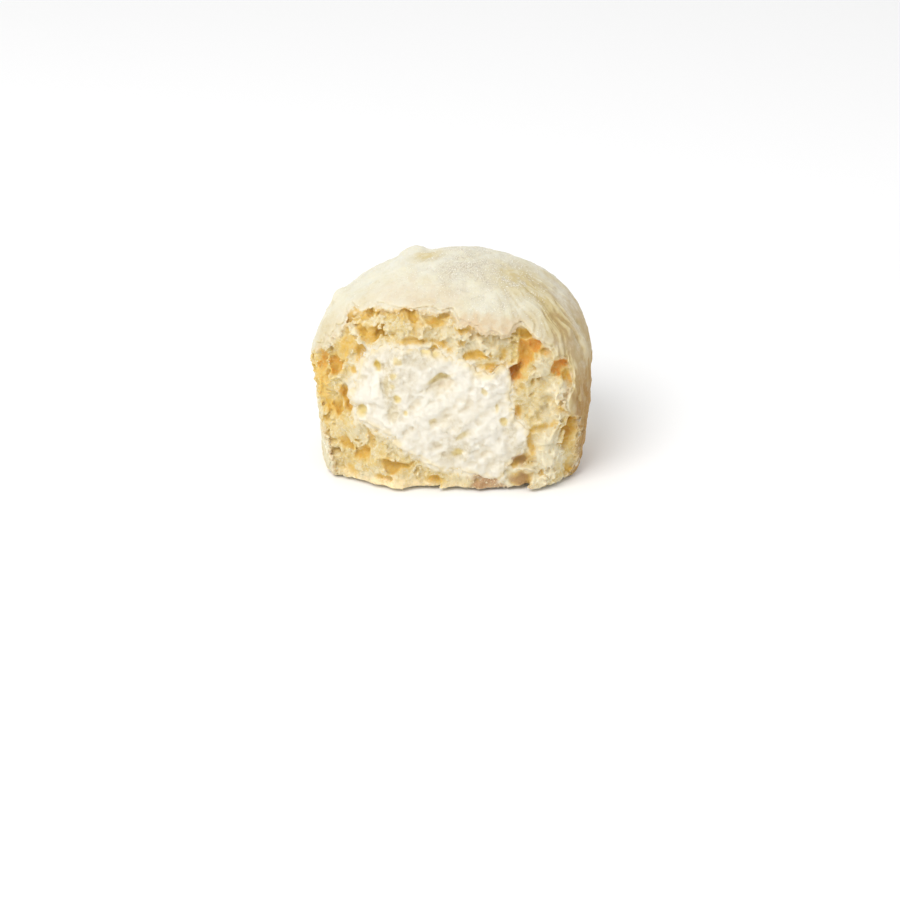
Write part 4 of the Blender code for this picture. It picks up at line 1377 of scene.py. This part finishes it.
powderGrains = {
    "material": "powder",
    "colours": ((0.84, 0.81, 0.71), (0.76, 0.71, 0.57)),
    "patchesPerMillimetre": 1.2,
    "mask": "powdery",
    "perSquareMillimetre": 3.6,
    "radius": 0.2,
    "rounds": 1,
    "sink": 0.05,
    "uneven": 0.6,            # lumpiness, in grain radii
    "seed": 7,
}

breadCrumbs = {
    "material": "crumbs",
    "colours": ((0.74, 0.65, 0.45), (0.72, 0.58, 0.32)),
    "patchesPerMillimetre": 0.5,
    "mask": "fluffy",
    "perSquareMillimetre": 1.0,
    "radius": 0.26,
    "rounds": 2,
    "sink": 0.08,
    "uneven": 1.2,
    "seed": 3,
}


def scatterTree(material):
    # lays uneven grains on a surface, closer together where the mask is higher
    tree = bpy.data.node_groups.new("scatter grains", "GeometryNodeTree")
    for name, kind in (("Surface", "Geometry"), ("Mask", "String"), ("Grains per area", "Float"),
                       ("Radius", "Float"), ("Rounds", "Int"), ("Sink", "Float"), ("Uneven", "Float"),
                       ("Seed", "Int")):
        tree.interface.new_socket(name, in_out="INPUT", socket_type="NodeSocket" + kind)
    tree.interface.new_socket("Grains", in_out="OUTPUT", socket_type="NodeSocketGeometry")
    given = tree.nodes.new("NodeGroupInput").outputs

    def add(kind, inputs, **settings):
        node = tree.nodes.new(kind)
        for name, value in settings.items():
            setattr(node, name, value)
        for name, value in inputs.items():
            if isinstance(value, bpy.types.NodeSocket):
                tree.links.new(value, node.inputs[name])
            else:
                node.inputs[name].default_value = value
        return node.outputs

    def scaled(vector, factor):
        return add("ShaderNodeVectorMath", {0: vector, "Scale": factor}, operation="SCALE")[0]

    mask = add("GeometryNodeInputNamedAttribute", {"Name": given["Mask"]}, data_type="FLOAT")["Attribute"]
    density = add("ShaderNodeMath", {0: mask, 1: given["Grains per area"]}, operation="MULTIPLY")[0]
    spots = add("GeometryNodeDistributePointsOnFaces",
                {"Mesh": given["Surface"], "Density": density, "Seed": given["Seed"]})
    inward = add("ShaderNodeMath", {0: given["Sink"], 1: -1.0}, operation="MULTIPLY")[0]
    sunk = add("GeometryNodeSetPosition",
               {"Geometry": spots["Points"], "Offset": scaled(spots["Normal"], inward)})["Geometry"]
    ball = add("GeometryNodeMeshIcoSphere", {"Radius": 1.0, "Subdivisions": given["Rounds"]})["Mesh"]
    rough = add("ShaderNodeTexNoise", {"Scale": 1.3, "Detail": 1.0})["Color"]
    centred = add("ShaderNodeVectorMath", {0: rough, 1: (0.5, 0.5, 0.5)}, operation="SUBTRACT")[0]
    grain = add("GeometryNodeSetPosition",
                {"Geometry": ball, "Offset": scaled(centred, given["Uneven"])})["Geometry"]
    turn = add("FunctionNodeRandomValue", {"Max": (math.tau, math.tau, math.tau), "Seed": given["Seed"]},
               data_type="FLOAT_VECTOR")["Value"]
    shape = add("FunctionNodeRandomValue", {"Min": (0.5, 0.45, 0.35), "Max": (1.7, 1.3, 0.9),
                                            "Seed": given["Seed"]}, data_type="FLOAT_VECTOR")["Value"]
    laid = add("GeometryNodeInstanceOnPoints", {
        "Points": sunk, "Instance": grain, "Rotation": turn, "Scale": scaled(shape, given["Radius"])})
    real = add("GeometryNodeRealizeInstances", {"Geometry": laid["Instances"]})["Geometry"]
    dressed = add("GeometryNodeSetMaterial", {"Geometry": real, "Material": material})["Geometry"]
    add("NodeGroupOutput", {"Grains": dressed})
    return tree


def scatterGrains(name, surface, settings):
    piece = bpy.data.objects.new(name, surface.data.copy())
    bpy.context.scene.collection.objects.link(piece)
    tree = scatterTree(grainMaterial(settings))
    lay = piece.modifiers.new("lay grains", "NODES")
    lay.node_group = tree
    values = {
        "Mask": settings["mask"],
        "Grains per area": settings["perSquareMillimetre"] / mm ** 2,
        "Radius": settings["radius"] * mm,
        "Rounds": settings["rounds"],
        "Sink": settings["sink"] * mm,
        "Uneven": settings["uneven"],
        "Seed": settings["seed"],
    }
    for item in tree.interface.items_tree:
        if item.in_out == "INPUT" and item.name in values:
            lay[item.identifier] = values[item.name]
    applyModifiers(piece)
    piece.data.shade_smooth()
    print(name, len(piece.data.polygons), "faces")
    return piece


studio = {
    "floorHalf": 3.0,
    "lampPlace": (-0.50, -0.80, 1.00),
    "lampAim": (0.0, 0.0, 0.03),
    "lampSize": 0.9,
    "lampPower": 12.0,
    "sky": 0.78,
    "cameraPlace": (-0.00044, -0.66316, 0.3115),
    "cameraTilt": 64.9,
    "lens": 95.6,
    "sensor": 36.0,
}


def buildStudio():
    half = studio["floorHalf"]
    mesh = bpy.data.meshes.new("floor")
    corners = [(-half, -half, 0.0), (half, -half, 0.0), (half, half, 0.0), (-half, half, 0.0)]
    mesh.from_pydata(corners, [], [(0, 1, 2, 3)])
    mesh.materials.append(MaterialMaker("pale floor").finish((0.95, 0.95, 0.95), 0.9))
    floor = bpy.data.objects.new("floor", mesh)
    bpy.context.scene.collection.objects.link(floor)

    data = bpy.data.lights.new("key", "AREA")
    data.shape = "DISK"
    data.size = studio["lampSize"]
    data.energy = studio["lampPower"]
    lamp = bpy.data.objects.new("key", data)
    lamp.location = studio["lampPlace"]
    toAim = Vector(studio["lampAim"]) - Vector(studio["lampPlace"])
    lamp.rotation_euler = toAim.to_track_quat("-Z", "Y").to_euler()
    bpy.context.scene.collection.objects.link(lamp)

    world = bpy.data.worlds.new("studio")
    bpy.context.scene.world = world
    world.use_nodes = True
    background = world.node_tree.nodes["Background"]
    background.inputs["Color"].default_value = (1.0, 1.0, 1.0, 1.0)
    background.inputs["Strength"].default_value = studio["sky"]
    bpy.context.scene.view_settings.view_transform = "Standard"


def buildCamera():
    data = bpy.data.cameras.new("camera")
    data.lens = studio["lens"]
    data.sensor_width = studio["sensor"]
    camera = bpy.data.objects.new("camera", data)
    camera.location = studio["cameraPlace"]
    camera.rotation_euler = (math.radians(studio["cameraTilt"]), 0.0, 0.0)
    bpy.context.scene.collection.objects.link(camera)
    bpy.context.scene.camera = camera


bread = buildBread()
cream = buildCream()
grains = scatterGrains("powderGrains", bread, powderGrains)
crumbs = scatterGrains("looseCrumbs", bread, breadCrumbs)
bread.data.materials.append(breadMaterial())
cream.data.materials.append(creamMaterial())
for piece, slotName in ((bread, "bread"), (cream, "cream"), (grains, "bread"), (crumbs, "bread")):
    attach(piece, "root")
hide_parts("bun")
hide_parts("cream")
buildStudio()
buildCamera()
print("studio and camera ready")
